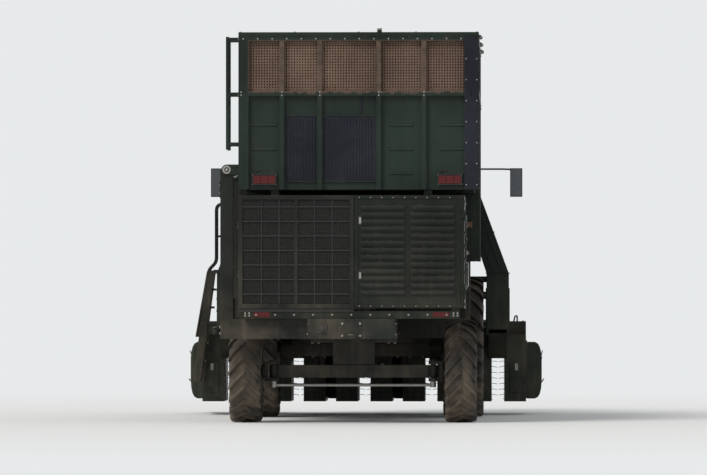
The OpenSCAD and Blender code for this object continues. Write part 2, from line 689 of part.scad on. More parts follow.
// Rod that joins the steering arms, and slides as they turn
module steering_rod() color(steel) {
    rod_x(20, -kingpin_x, kingpin_x, rear_axle_y - 190, 470);
    both_sides() translate([kingpin_x, rear_axle_y - 190, 440]) cylinder(r = 38, h = 74 - seat_gap);
}

// Deep floor, step wall and shallow floor, with the plate for the tilt cylinders' heads
module basket_floor() color(green) {
    block([in_left, in_step, floor_z - sheet], [in_right, in_front, floor_z]);
    for (y = [[-1540, -1420], [-360, -240], [490, 610]])
        block([in_left, y[0], basket_z], [in_right, y[1], floor_z - sheet + 1]);
    block([in_left, in_step - sheet, basket_z], [in_right, in_step, step_floor_z]);
    for (x = end_ribs) block([x - 30, step_y, basket_z], [x + 30, in_step, basket_step_z + 1]);
    block([in_left, in_rear, step_floor_z - sheet], [in_right, in_step, step_floor_z]);
    for (y = [-1810, -2400, -3100, -3900])
        block([in_left, y, basket_step_z], [in_right, y + 120, step_floor_z - sheet + 1]);
    block([tilt_head.x - 90, tilt_plate_y - 15, tilt_head.y],
          [tilt_head.x + 90, tilt_plate_y + 15, basket_step_z + 1]);
    rod_y(90, tilt_plate_y - 15, tilt_plate_y + 15, tilt_head.x, tilt_head.y);
    rod_y(40, tilt_plate_y - 46, tilt_plate_y + 46, tilt_head.x, tilt_head.y);
}

// Left wall: sheet up to the screens, ribs outside it, corner posts and rails
module side_wall() {
    side_profile([[basket_front_y, basket_z], [basket_front_y, screen_z],
        [basket_rear_y, screen_z], [basket_rear_y, basket_step_z], [step_y, basket_step_z],
        [step_y, basket_z]], basket_left + rib, in_left);
    for (y = side_ribs) block([basket_left, y - 30, y > step_y ? basket_z : basket_step_z],
        [basket_left + rib, y + 30, basket_top_z]);
    block([basket_left, in_front, basket_z], [basket_left + rib, basket_front_y, basket_top_z]);
    block([basket_left, basket_rear_y, basket_step_z],
          [basket_left + rib, in_rear, basket_top_z]);
    for (y = [[in_front, basket_front_y], [basket_rear_y, in_rear]])
        block([basket_left + 1, y[0], screen_z - 1], [in_left, y[1], basket_top_z]);
    block([basket_left, basket_rear_y, rail_z], [in_left, basket_front_y, basket_top_z]);
    block([basket_left, basket_rear_y, screen_z - 60],
          [basket_left + rib, basket_front_y, screen_z]);
}

module basket_side_left() color(green) {
    side_wall();
    for (y = post_ys) for (side = [-1, 1]) hinge_plate(y + side * 78);
    service_ladder();
}

// Plate with the bore for the hinge pin
module hinge_plate(y) difference() {
    union() {
        rod_y(65, y - 12, y + 12, hinge_x, hinge_z);
        block([hinge_x, y - 12, hinge_z - 65], [basket_left + rib + 1, y + 12, hinge_z + 65]);
    }
    rod_y(hinge_pin_r + seat_gap, y - 20, y + 20, hinge_x, hinge_z);
}

module service_ladder() {
    low = basket_top_z - 1400;
    for (y = [-3900, -3500]) {
        block([-1560, y, low], [-1520, y + 40, basket_top_z]);
        for (z = [low + 50, screen_z - 50, rail_z + 10])
            block([-1521, y, z], [basket_left + rib + 1, y + 40, z + 40]);
    }
    for (z = [100 : 250 : 1200]) rod_y(14, -3861, -3499, -1540, low + z);
}

module basket_side_right() color(green) {
    translate([basket_left + basket_right, 0, 0]) mirror([1, 0, 0]) side_wall();
    for (y = lid_lug_ys) {
        rod_y(20, y - 40, y + 40, lid_axis.x, lid_axis.y);
        block([basket_right - 1, y - 40, basket_top_z - 20], [lid_axis.x, y + 40, basket_top_z]);
        rod_y(9, y - 90, y + 90, lid_axis.x, lid_axis.y);
    }
}

// Front wall, with a hole for the nozzle of every duct
module basket_front() color(green) difference() {
    union() {
        block([in_left, in_front, basket_z], [in_right, in_front + sheet, basket_top_z]);
        for (x = end_ribs) block([x - 30, in_front + sheet - 1, basket_z],
            [x + 30, basket_front_y, screen_z]);
        for (z = [screen_z - 60, rail_z])
            block([in_left, in_front + sheet - 1, z], [in_right, basket_front_y, z + 60]);
    }
    for (x = [-row_pitch, 0, row_pitch]) nozzle_hole(x - duct_half, x + duct_half);
    both_sides() nozzle_hole(outer_duct_x[0], outer_duct_x[1]);
}

module nozzle_hole(x0, x1)
    block([x0, in_front - 1, nozzle_z[0]], [x1, basket_front_y + 1, nozzle_z[1]]);

module basket_rear() color(green) {
    block([in_left, in_rear - sheet, basket_step_z], [in_right, in_rear, screen_z]);
    for (x = end_ribs) block([x - 30, basket_rear_y, basket_step_z],
        [x + 30, in_rear - sheet + 1, screen_z]);
    for (x = end_ribs) block([x - 30, basket_rear_y, screen_z - 1],
        [x + 30, in_rear - sheet, basket_top_z]);
    block([in_left, basket_rear_y, screen_z - 60], [in_right, in_rear - sheet + 1, screen_z]);
    block([in_left, basket_rear_y, rail_z], [in_right, in_rear, basket_top_z]);
    block([1400, basket_rear_y, basket_step_z], [in_right, in_rear - sheet + 1, screen_z]);
    for (x = [[-831, -419], [-361, 311]])
        block([x[0], in_rear - sheet - 16, basket_step_z + 90],
              [x[1], in_rear - sheet + 1, basket_step_z + 930]);
    block([1400, basket_rear_y, screen_z - 1], [in_right, in_rear - sheet, basket_top_z]);
}

// Lamps on the rear wall, on the left and the right
module tail_lamps() color([0.45, 0.06, 0.05]) for (x = [-1230, 1070])
    block([x, in_rear - sheet - 45, basket_step_z + 60],
          [x + 300, in_rear - sheet - seat_gap, basket_step_z + 190]);

// Perforated screens of the two sides and the rear, below the top rail
module basket_screens() color(rust) {
    for (x = [basket_left + rib, basket_right - rib - sheet])
        open_sheet([x, in_rear, screen_z], [x + sheet, in_front, rail_z], [0, 12, 3], 24);
    open_sheet([in_left, in_rear - sheet, screen_z], [in_right, in_rear, rail_z],
               [12, 0, 3], 24);
}

// Lid: frame on the walls, with cross bars and its half of the hinge
module lid_frame() color(green) {
    for (i = [0 : 5]) translate([0, basket_rear_y + i * lid_pitch, basket_top_z + 2])
        block([basket_left, 0, 0], [basket_right, lid_bar, 50]);
    for (x = lid_xs) block([x, basket_rear_y, basket_top_z + 2],
        [x + lid_bar, basket_front_y, basket_top_z + 52]);
    block([320, basket_rear_y, basket_top_z + 51], [380, basket_rear_y + 40, basket_top_z + 100]);
}

// Eyes of the lid's hinge, seated against its right edge
module lid_hinges() color(green) for (y = lid_lug_ys) for (side = [-65, 65]) difference() {
    union() {
        rod_y(20, y + side - 22, y + side + 22, lid_axis.x, lid_axis.y);
        block([basket_right + seat_gap, y + side - 22, basket_top_z + 2],
              [lid_axis.x, y + side + 22, basket_top_z + 30]);
    }
    rod_y(9 + seat_gap, y - 120, y + 120, lid_axis.x, lid_axis.y);
}

module lid_screens() color(rust) for (i = [0 : 4]) for (x = [lid_xs[0], lid_xs[1]])
    translate([x + lid_bar, basket_rear_y + lid_bar + i * lid_pitch, basket_top_z + 22])
        open_sheet([0, 0, 0], [lid_pane, lid_pitch - lid_bar, 6], [6, 2, 0], 24);

// Door frame on the cab's left, with the hinge at its front edge
module cab_door() color(green) {
    difference() {
        block([-cab_x, door_rear_y, door_z], [-cab_x + 45, door_front_y, cab_top - 86]);
        block([-cab_x - 1, door_rear_y + 60, door_z + 80],
              [-cab_x + 46, door_front_y - 60, cab_top - 146]);
    }
    for (z = cab_hinge_zs)
        door_eye(cab_hinge, z, [cab_hinge.x, cab_hinge.y - 30], [1 - cab_x, cab_hinge.y]);
}

module cab_door_glass() color(glass_tint)
    block([-cab_x + 18, door_rear_y + 60, door_z + 80],
          [-cab_x + 26, door_front_y - 60, cab_top - 146]);

module side_door() color(green) {
    block([-bay_x, side_door_y[0], bay_z + 76], [-bay_x + skin, side_door_y[1], bay_top - 116]);
    for (z = side_hinge_zs)
        door_eye(side_hinge, z, [side_hinge.x, side_hinge.y - 30], [1 - bay_x, side_hinge.y]);
}

module rear_door() color(green) {
    block([40, bay_rear_y - skin, bay_z], [bay_x - 6, bay_rear_y - seat_gap, bay_top]);
    for (z = side_hinge_zs) door_eye(rear_hinge, z, [rear_hinge.x - 40, rear_hinge.y],
        [rear_hinge.x, bay_rear_y - skin + 1]);
}

// Round screen that turns in the right wall of the engine bay
module rotary_screen() color(steel) difference() {
    union() {
        rod_x(rotor_r, bay_x - 12, bay_x, rotor_y, rotor_z);
        rod_x(45, bay_x - 60, bay_x, rotor_y, rotor_z);
    }
    rod_x(20 + seat_gap, bay_x - 61, bay_x - 13, rotor_y, rotor_z);
}

main_frame();
hinge_posts();
basket_rests();
cab_frame();
fan_posts();
lift_ears();
front_axle();
rear_axle();
engine();
bay_deck();
bay_left();
bay_right();
radiator();
tanks();
cab_floor();
cab_shell();
cab_roof();
cab_glass();
cab_seat();
mirrors();
walkway();
air_ducts();
fans();
exhaust();
lamps();
header_frame();
picking_units();
stalk_lifters();
unit_boots();
picking_drums();
lift_barrels();
lift_rods();
front_tyre_left();
front_rim_left();
front_tyre_right();
front_rim_right();
rear_tyre_left();
rear_rim_left();
rear_tyre_right();
rear_rim_right();
knuckle_left();
knuckle_right();
steering_rod();
basket_floor();
basket_side_left();
basket_side_right();
basket_front();
basket_rear();
basket_screens();
tail_lamps();
lid_frame();
lid_hinges();
lid_screens();
tilt_barrels();
tilt_rods();
cab_door();
cab_door_glass();
side_door();
rear_door();
rotary_screen();
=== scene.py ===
"""Dresses the cotton harvester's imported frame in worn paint, rubber, glass and steel."""
from math import copysign, cos, exp, radians, sin, tau

import bpy
from mathutils import Matrix, Vector


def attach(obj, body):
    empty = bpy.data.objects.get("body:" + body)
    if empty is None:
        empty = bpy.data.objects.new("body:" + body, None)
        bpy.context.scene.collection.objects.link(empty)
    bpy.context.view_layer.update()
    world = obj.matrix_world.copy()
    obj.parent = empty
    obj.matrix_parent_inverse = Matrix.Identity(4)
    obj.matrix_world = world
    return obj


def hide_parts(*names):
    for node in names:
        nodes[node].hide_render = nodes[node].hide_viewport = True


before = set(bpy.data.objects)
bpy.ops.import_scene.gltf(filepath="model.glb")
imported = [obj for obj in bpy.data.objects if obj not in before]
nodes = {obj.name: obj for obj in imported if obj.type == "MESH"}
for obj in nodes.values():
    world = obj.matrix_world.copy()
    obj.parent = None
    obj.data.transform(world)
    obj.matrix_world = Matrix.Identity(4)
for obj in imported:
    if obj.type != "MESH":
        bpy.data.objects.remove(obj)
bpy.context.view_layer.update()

# Camera, behind and a little to the right, low and far away as in the photograph, in metres

CAMERA_AWAY = 75
CAMERA_HEIGHT = 1.4
CAMERA_TURN = radians(1.5)
CAMERA_AIM = Vector((0.0, -3.0, 2.32))

camera = bpy.data.objects.new("camera", bpy.data.cameras.new("camera"))
bpy.context.scene.collection.objects.link(camera)
bpy.context.scene.camera = camera
camera.data.lens = 292
camera.data.clip_end = 400
camera.location = (CAMERA_AWAY * sin(CAMERA_TURN), -CAMERA_AWAY * cos(CAMERA_TURN), CAMERA_HEIGHT)
camera.rotation_euler = (CAMERA_AIM - camera.location).to_track_quat("-Z", "Y").to_euler()


# Shader nodes in short form

class Tree:
    """A node tree, with sums, steps and blends of its sockets."""

    def __init__(self, tree):
        self.tree = tree

    def add(self, kind, inputs=None, **settings):
        """One shader node. A socket among the inputs is linked, and any other value is set."""
        node = self.tree.nodes.new("ShaderNode" + kind)
        for key, value in settings.items():
            setattr(node, key, value)
        for key, value in (inputs or {}).items():
            if isinstance(value, bpy.types.NodeSocket):
                self.tree.links.new(value, node.inputs[key])
            else:
                node.inputs[key].default_value = value
        return node

    def calc(self, operation, a, b=0.0, clamp=False):
        """One sum on two numbers."""
        return self.add("Math", {0: a, 1: b}, operation=operation, use_clamp=clamp).outputs[0]

    def times(self, a, b, clamp=False):
        """The product of two numbers."""
        return self.calc("MULTIPLY", a, b, clamp)

    def plus(self, a, b, clamp=False):
        """Two numbers added."""
        return self.calc("ADD", a, b, clamp)

    def step(self, value, low, high, out_low=0.0, out_high=1.0):
        """A smooth rise from out_low to out_high as the value goes from low to high."""
        return self.add("MapRange", {"Value": value, "From Min": low, "From Max": high,
                                     "To Min": out_low, "To Max": out_high},
                        interpolation_type="SMOOTHSTEP").outputs[0]

    def mix(self, share, *colours):
        """The first colour where the share is 0, and the second where it is 1."""
        a, b = ((*c, 1.0) if isinstance(c, tuple) else c for c in colours)
        return self.add("Mix", {0: share, 6: a, 7: b}, data_type="RGBA").outputs[2]


class Look(Tree):
    """A new material, with plain values set on its shader."""

    def __init__(self, name, colour, **values):
        self.mat = bpy.data.materials.new(name)
        self.mat.use_nodes = True
        super().__init__(self.mat.node_tree)
        self.shader = self.tree.nodes["Principled BSDF"]
        self.shader.inputs["Base Color"].default_value = (*colour, 1.0)
        for key, value in values.items():
            self.shader.inputs[key.replace("_", " ")].default_value = value
        self.coord = self.add("TexCoord")
        self.place = self.coord.outputs["Object"]

    def grain(self, scale, detail=4.0, rough=0.55, stretch=None):
        """Noise between 0 and 1, stretched along an axis where a scale for each is given."""
        place = self.place
        if stretch:
            place = self.add("Mapping", {"Vector": place, "Scale": stretch}).outputs[0]
        return self.add("TexNoise", {"Vector": place, "Scale": scale, "Detail": detail,
                                     "Roughness": rough}).outputs[0]

    def feed(self, **sockets):
        """Link sockets to the shader's inputs."""
        for key, value in sockets.items():
            self.tree.links.new(value, self.shader.inputs[key.replace("_", " ")])

    def bump(self, height, strength, distance, **inputs):
        """Fine relief from a height."""
        self.feed(Normal=self.add("Bump", {"Height": height, "Strength": strength,
                                           "Distance": distance, **inputs}).outputs[0])


def tone(colour, times, more=0.0):
    """A lighter or darker tone of a colour."""
    return tuple(c * times + more for c in colour)


def dust_share(t, amount):
    """Where dust lies: on faces that look up, low down, and in uneven patches and streaks."""
    up = t.add("SeparateXYZ", {0: t.coord.outputs["Normal"]}).outputs[2]
    height = t.add("SeparateXYZ", {0: t.place}).outputs[2]
    flat = t.plus(t.step(up, 0.3, 1.0, 0.0, 0.6), t.step(height, 2.6, 0.2, 0.0, 0.75))
    patch = t.step(t.grain(1.7, 5.0, 0.62), 0.35, 0.7)
    streak = t.step(t.grain(1.0, 4.0, 0.6, (7.0, 7.0, 0.5)), 0.45, 0.75, 0.0, 0.7)
    return t.times(t.times(t.plus(flat, 0.06), t.plus(patch, streak)), amount, clamp=True)


def lint_share(t):
    """Where lint lies: in a band beside the screens, between the rear wall's corner posts."""
    place = t.add("SeparateXYZ", {0: t.place})
    across, height = place.outputs[0], place.outputs[2]
    patch = t.grain(9.0, 6.0, 0.65)
    edge = t.plus(height, t.times(patch, 0.14))
    band = t.times(t.step(edge, 4.155, 4.19), t.step(height, 4.77, 4.73))
    inner = t.times(t.step(across, -1.29, -1.27), t.step(across, 1.39, 1.37))
    return t.times(t.times(band, inner), t.step(patch, 0.3, 0.62, 0.45, 0.95))


def painted(name, colour, dust=0.7, chips=0.8, gloss=0.36, under=(0.10, 0.07, 0.05), lint=None):
    """Old enamel: faded patches, dust, chipped edges, a fine orange peel and perhaps lint."""
    t = Look(name, colour, Metallic=0.0, Specular_IOR_Level=0.22)
    body = t.mix(t.step(t.grain(0.9, 5.0, 0.6), 0.3, 0.72), tone(colour, 0.72),
                 tone(colour, 1.4, 0.004))
    share = dust_share(t, dust)
    tan = t.mix(t.grain(46.0, 3.0, 0.6), (0.13, 0.105, 0.075), (0.21, 0.17, 0.125))
    dusty = t.mix(t.times(share, 0.62), body, tan)
    bevel = t.add("Bevel", {"Radius": 0.012}, samples=4).outputs[0]
    flat = t.add("NewGeometry").outputs["Normal"]
    turn = t.add("VectorMath", {0: bevel, 1: flat}, operation="DOT_PRODUCT").outputs["Value"]
    edge = t.times(t.step(turn, 0.97, 0.80), t.step(t.grain(9.0, 6.0, 0.7), 0.52, 0.60))
    spots = t.step(t.grain(5.0, 8.0, 0.75), 0.71, 0.74, 0.0, 0.8)
    bare = t.times(t.calc("MAXIMUM", edge, spots), chips, clamp=True)
    worn = t.mix(bare, dusty, under)
    if lint:
        worn = t.mix(lint_share(t), worn, lint)
    rough = t.plus(t.times(share, 0.45), gloss)
    t.feed(Base_Color=worn, Roughness=t.calc("MAXIMUM", rough, t.times(bare, 0.75), clamp=True))
    t.bump(t.plus(t.grain(3.0, 3.0), t.times(bare, -0.25)), 0.22, 0.012, Normal=bevel)
    return t.mat


def metal(name, colour, rough=0.35, rust=0.25, scale=14.0, metallic=0.9):
    """Bare or plated metal with rub marks and rust in patches."""
    t = Look(name, colour)
    patch = t.step(t.grain(scale, 7.0, 0.7), 0.62 - 0.3 * rust, 0.78 - 0.3 * rust)
    rusty = t.times(patch, rust * 1.6, clamp=True)
    brown = t.mix(t.grain(60.0), (0.10, 0.045, 0.02), (0.24, 0.12, 0.06))
    clean = t.mix(t.grain(3.0, 5.0), tone(colour, 0.7), colour)
    marks = t.grain(30.0, 5.0, 0.7)
    t.feed(Base_Color=t.mix(rusty, clean, brown),
           Metallic=t.times(t.calc("SUBTRACT", 1.0, rusty), metallic),
           Roughness=t.step(marks, 0.2, 0.8, rough - 0.08, rough + 0.2))
    t.bump(marks, 0.15, 0.004)
    return t.mat


def dull(name, colour, rough=0.7, dust=0.5, bump=0.2, scale=90.0):
    """Moulded plastic or rubber: matt, faintly pebbled, dusty."""
    t = Look(name, colour, Specular_IOR_Level=0.3)
    share = dust_share(t, dust)
    clean = t.mix(t.grain(4.0, 5.0), tone(colour, 0.75), tone(colour, 1.3, 0.004))
    t.feed(Base_Color=t.mix(t.times(share, 0.6), clean, (0.22, 0.175, 0.125)),
           Roughness=t.plus(t.times(share, 0.25), rough, clamp=True))
    t.bump(t.grain(scale, 3.0), bump, 0.003)
    return t.mat


def woven(name, colour):
    """Seat cloth: crossed threads, a little sheen and worn paler patches."""
    t = Look(name, colour, Roughness=0.9, Sheen_Weight=0.35)
    a, b, c = (t.add("TexWave", {"Vector": t.place, "Scale": 210.0, "Distortion": 0.4},
                     bands_direction=way).outputs[1] for way in "XYZ")
    weave = t.plus(t.times(a, b), c)
    body = t.mix(t.grain(6.0, 5.0), tone(colour, 0.7), tone(colour, 1.5))
    t.feed(Base_Color=t.mix(t.times(weave, 0.3), body, tone(colour, 2.2)))
    t.bump(weave, 0.35, 0.002)
    return t.mat


def pane(name, colour, rough=0.015):
    """Tinted glass with a film of dust."""
    t = Look(name, colour, Transmission_Weight=1.0, IOR=1.45)
    t.feed(Roughness=t.step(t.grain(2.5, 6.0, 0.65), 0.4, 0.8, rough, rough + 0.09))
    return t.mat


def lens(name, colour):
    """Moulded lamp lens with fine flutes."""
    t = Look(name, colour, Roughness=0.16, Coat_Weight=0.15, Specular_IOR_Level=0.3)
    t.feed(Base_Color=t.mix(t.grain(12.0), tone(colour, 0.6), colour))
    flutes = t.add("TexWave", {"Vector": t.place, "Scale": 22.0}, bands_direction="X").outputs[1]
    t.bump(flutes, 0.4, 0.004)
    return t.mat


OLD_GREEN = (0.0085, 0.0175, 0.0125)
GREEN = painted("green_paint", OLD_GREEN, dust=0.6)
LINTED = painted("linted_green_paint", OLD_GREEN, dust=0.6, lint=(0.11, 0.072, 0.054))
# Painted shade: a darker copy of the same green paint, for the shaded lower engine bay, its deck and
# rear door, the row units' boots and the air pipes
SHADE = painted("green_paint_painted_shade", (0.0055, 0.0095, 0.006), dust=0.5)
# Dark panel colour whose blue tint is a painted reflection of the sky; used on the rear wall's panels
# and strips and on the cab's screen
PANEL = painted("dark_panel_painted_sky_blue", (0.008, 0.010, 0.017), dust=0.25, chips=0.4)
FRAME = painted("frame_paint", (0.009, 0.011, 0.009), dust=0.8, chips=0.6)
# Screens: brown of dust and cotton trash, with rust under chipped paint, made lighter as painted
# backlight shining through the mesh
RUST_AND_BACKLIGHT = painted("brown_screen_painted_backlight", (0.15, 0.098, 0.072), dust=0.35, chips=0.9, gloss=0.62,
               under=(0.11, 0.045, 0.02))
RIM = painted("pale_rim_paint", (0.30, 0.30, 0.27), dust=0.9, chips=0.9, gloss=0.42,
              under=(0.12, 0.055, 0.03))
STEEL = metal("worn_steel", (0.42, 0.41, 0.39), 0.38, 0.3)
BRIGHT = metal("bright_rod", (0.66, 0.66, 0.67), 0.16, 0.05)
ZINC = metal("zinc_plate", (0.40, 0.39, 0.36), 0.42, 0.18, 20.0)
CAST = metal("cast_iron", (0.085, 0.085, 0.08), 0.62, 0.35, 8.0, 0.4)
HOT = metal("hot_pipe", (0.26, 0.20, 0.16), 0.55, 0.75, 9.0, 0.8)
FINS = metal("radiator_fins", (0.03, 0.031, 0.028), 0.6, 0.15, 20.0, 0.4)
# Mirror glass made a dim metal: a painted dark reflection in place of a real mirror's bright one
MIRROR = metal("mirror_face_painted_dark_reflection", (0.14, 0.15, 0.16), 0.12, 0.0, 6.0, 1.0)
TREAD = dull("tyre_rubber", (0.022, 0.021, 0.02), 0.82, 1.0, 0.3, 60.0)
RUBBER = dull("seal_rubber", (0.018, 0.018, 0.018), 0.6, 0.35)
BLACK = dull("black_plastic", (0.022, 0.023, 0.024), 0.48, 0.4)
GREY = dull("grey_plastic", (0.10, 0.10, 0.095), 0.5, 0.15)
LINER = dull("pale_liner", (0.28, 0.27, 0.25), 0.85, 0.1)
TANK = dull("moulded_tank", (0.03, 0.034, 0.032), 0.45, 0.75)
CLOTH = woven("seat_cloth", (0.035, 0.037, 0.042))
GLASS = pane("cab_glass", (0.78, 0.85, 0.84))
CLEAR = lens("clear_lens", (0.72, 0.73, 0.72))
RED = lens("red_lens", (0.10, 0.008, 0.007))
AMBER = lens("amber_lens", (0.55, 0.17, 0.015))


# Shapes in short form, with every number in millimetres as in the part's source

X, Y, Z = (1, 0, 0), (0, 1, 0), (0, 0, 1)
DOWN, BACK = (0, 0, -1), (0, -1, 0)
SIDES = (-1, 1)


def bent(points, radius, steps=5):
    """The same path with each inner corner rounded."""
    points = [Vector(p) for p in points]
    path = [points[0]]
    for before, at, after in zip(points, points[1:], points[2:]):
        cut = min(radius, (before - at).length * 0.48, (after - at).length * 0.48)
        a = at + (before - at).normalized() * cut
        b = at + (after - at).normalized() * cut
        path += [a.lerp(at, t).lerp(at.lerp(b, t), t) for t in (i / steps for i in range(steps + 1))]
    return path + [points[-1]]


def circle(at, axis, r, count, start=0.0):
    """Points spaced evenly round a centre, in the plane across an axis, from a start angle."""
    points = []
    for k in range(count):
        angle = start + tau * k / count
        p = [r * sin(angle), r * cos(angle)]
        p.insert(axis, 0)
        points.append(Vector(at) + Vector(p))
    return points


class Form:
    """The faces of one piece, each with the number of its material."""

    def __init__(self):
        self.points, self.faces, self.looks = [], [], []
        self.at()

    def at(self, x=0, y=0, z=0, side=1, lean=0.0):
        """Take later points from this place, leaning about X, and mirrored in X on side -1."""
        self.turn = (Matrix.Diagonal((side, 1, 1, 1)) @ Matrix.Translation((x, y, z))
                     @ Matrix.Rotation(radians(lean), 4, "X"))

    def add(self, points, faces, look=0):
        """Add faces on points of their own."""
        base = len(self.points)
        self.points += [self.turn @ Vector(p) for p in points]
        flip = self.turn.determinant() < 0
        self.faces += [[base + i for i in (reversed(f) if flip else f)] for f in faces]
        self.looks += [look] * len(faces)

    def box(self, lo, hi, look=0):
        """Block between two opposite corners."""
        xs, ys, zs = (sorted(pair) for pair in zip(lo, hi))
        self.add([(x, y, z) for x in xs for y in ys for z in zs],
                 [(0, 1, 3, 2), (4, 6, 7, 5), (0, 4, 5, 1), (2, 3, 7, 6), (0, 2, 6, 4),
                  (1, 5, 7, 3)], look)

    def prism(self, outline, axis, lo, hi, look=0):
        """An outline drawn out along an axis. It is given as y z, z x or x y pairs."""
        lo, hi = sorted((lo, hi))
        area = sum(a[0] * b[1] - b[0] * a[1] for a, b in zip(outline, outline[1:] + outline[:1]))
        if area < 0:
            outline = outline[::-1]
        n = len(outline)
        points = [((h, a, b), (b, h, a), (a, b, h))[axis] for h in (lo, hi) for a, b in outline]
        sides = [(i, (i + 1) % n, n + (i + 1) % n, n + i) for i in range(n)]
        self.add(points, sides + [tuple(reversed(range(n))), tuple(range(n, 2 * n))], look)

    def lathe(self, profile, at, axis, sides=24, look=0):
        """A profile of [radius, distance along the axis] turned round the axis at a point."""
        turn = Vector(axis).normalized().to_track_quat("Z", "Y").to_matrix()
        rings, points = [], []
        for r, h in profile:
            count = sides if r > 1e-6 else 1
            rings.append(range(len(points), len(points) + count))
            points += [Vector(at) + turn @ Vector((r * cos(a), r * sin(a), h))
                       for a in (tau * i / sides for i in range(count))]
        faces = []
        for a, b in zip(rings, rings[1:]):
            for i in range(sides):
                j = (i + 1) % sides
                quad = [a[i % len(a)], a[j % len(a)], b[j % len(b)], b[i % len(b)]]
                face = [v for k, v in enumerate(quad) if v not in quad[:k]]
                if len(face) > 2:
                    faces.append(face)
        self.add(points, faces, look)

    def rod(self, a, b, r, look=0, sides=14, r2=None):
        """Cylinder or cone between two points."""
        a, b = Vector(a), Vector(b)
        length = (b - a).length
        self.lathe([(0, 0), (r, 0), (r if r2 is None else r2, length), (0, length)], a, b - a,
                   sides, look)

    def bolts(self, places, axis, r=12, h=9, look=0):
        """Hexagon heads that stand on a face."""
        way = Vector(axis).normalized()
        for p in places:
            self.rod(Vector(p) - way * 2, Vector(p) + way * h, r, look, 6)

    def tube(self, path, r, look=0, sides=8):
        """Round pipe along a path, closed at its ends."""
        path = [Vector(p) for p in path]
        points, n = [], len(path)
        side = (path[1] - path[0]).orthogonal()
        for i, p in enumerate(path):
            way = (path[min(i + 1, n - 1)] - path[max(i - 1, 0)]).normalized()
            side = (side - way * side.dot(way)).normalized()
            other = way.cross(side)
            points += [p + (side * cos(a) + other * sin(a)) * r
                       for a in (tau * k / sides for k in range(sides))]
        faces = [(i * sides + k, i * sides + (k + 1) % sides,
                  (i + 1) * sides + (k + 1) % sides, (i + 1) * sides + k)
                 for i in range(n - 1) for k in range(sides)]
        faces += [tuple(reversed(range(sides))), tuple(range((n - 1) * sides, n * sides))]
        self.add(points, faces, look)

    def pipe(self, points, bend, r, look=0, sides=8):
        """Round pipe through points, with its corners rounded."""
        self.tube(bent(points, bend), r, look, sides)

    def lattice(self, axis, at, us, vs, pitch, bar, thick, look=0):
        """Crossing flat bars in a plane. The axis is the one across the plane."""
        for along, across, deep in ((0, 1, thick), (1, 0, thick * 0.7)):
            ends = (us, vs)
            lo, hi = ends[along]
            count = max(1, round((hi - lo) / pitch))
            for i in range(count + 1):
                mid = min(max(lo + (hi - lo) * i / count, lo + bar / 2), hi - bar / 2)
                spans = [ends[across]]
                spans.insert(along, (mid - bar / 2, mid + bar / 2))
                spans.insert(axis, (at - deep / 2, at + deep / 2))
                self.box([s[0] for s in spans], [s[1] for s in spans], look)

    def border(self, axis, lo, hi, at, width, look=0):
        """Four bars round an opening in a plane across an axis, between two depths."""
        (u0, v0), (u1, v1) = lo, hi
        for a, b in (((u0, v0), (u0 + width, v1)), ((u1 - width, v0), (u1, v1)),
                     ((u0 + width, v0), (u1 - width, v0 + width)),
                     ((u0 + width, v1 - width), (u1 - width, v1))):
            a, b = list(a), list(b)
            a.insert(axis, at[0])
            b.insert(axis, at[1])
            self.box(a, b, look)

    def build(self, name, body, looks, replaces=(), bevel=0.0, smooth=35, rounds=2):
        """Make the piece, give it its materials and let it ride on its body."""
        mesh = bpy.data.meshes.new(name)
        mesh.from_pydata([p * 0.001 for p in self.points], [], self.faces)
        for look in looks:
            mesh.materials.append(look)
        mesh.polygons.foreach_set("material_index", self.looks)
        mesh.polygons.foreach_set("use_smooth", [True] * len(self.faces))
        mesh.set_sharp_from_angle(angle=radians(smooth))
        mesh.update()
        obj = bpy.data.objects.new(name, mesh)
        bpy.context.scene.collection.objects.link(obj)
        if bevel:
            mod = obj.modifiers.new("edges", "BEVEL")
            mod.width, mod.segments = bevel * 0.001, rounds
            mod.limit_method, mod.angle_limit = "ANGLE", radians(40)
            mod.harden_normals = True
        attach(obj, body)
        if replaces:
            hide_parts(*replaces)
        return obj

    def loft(self, rings, look=0):
        """Skin over rings that have the same number of points, closed at both ends."""
        n = len(rings[0])
        faces = [(i * n + k, (i + 1) * n + k, (i + 1) * n + (k + 1) % n, i * n + (k + 1) % n)
                 for i in range(len(rings) - 1) for k in range(n)]
        faces += [tuple(range(n)), tuple(reversed(range((len(rings) - 1) * n, len(rings) * n)))]
        self.add([p for ring in rings for p in ring], faces, look)

    def strip(self, wall, face, out, section, lo, hi, look=0):
        """A section of [height, distance out] drawn along a wall across X (0) or Y (1)."""
        outline = [(face + out * deep, z) for z, deep in section]
        self.prism(outline if wall else [p[::-1] for p in outline], 1 - wall, lo, hi, look)

    def louvres(self, wall, face, out, spans, zs, look=0, dark=1):
        """Pressed louvres on a wall across X (0) or Y (1), each with a black strip under its lip as
        painted shade in its mouth.
        """
        for lo, hi in spans:
            for z in zs:
                self.strip(wall, face, out, [(z + 4, 0), (z, 24), (z + 9, 25), (z + 60, 0)],
                           lo, hi, look)
                # Black strip under the lip: painted shade where the louvre's mouth would open into the
                # bay
                self.strip(wall, face, out, [(z - 7, 0), (z - 7, 3), (z + 5, 3), (z + 5, 0)],
                           lo, hi, dark)


def dress(look, *names):
    """Give CAD nodes a material in place of the plain one."""
    for name in names:
        data = nodes[name].data
        data.materials.clear()
        data.materials.append(look)


dress(GREEN, "bay_left", "bay_right", "cab_shell", "cab_roof", "air_ducts",
      "picking_units", "stalk_lifters", "basket_floor", "basket_side_left",
      "basket_side_right", "basket_front", "lid_frame", "lid_hinges", "cab_door",
      "side_door", "fans")
dress(LINTED, "basket_rear")
dress(FRAME, "main_frame", "hinge_posts", "basket_rests", "cab_frame", "fan_posts",
      "lift_ears", "front_axle", "rear_axle", "header_frame", "lift_barrels",
      "tilt_barrels", "knuckle_left", "knuckle_right", "cab_floor", "walkway", "radiator")
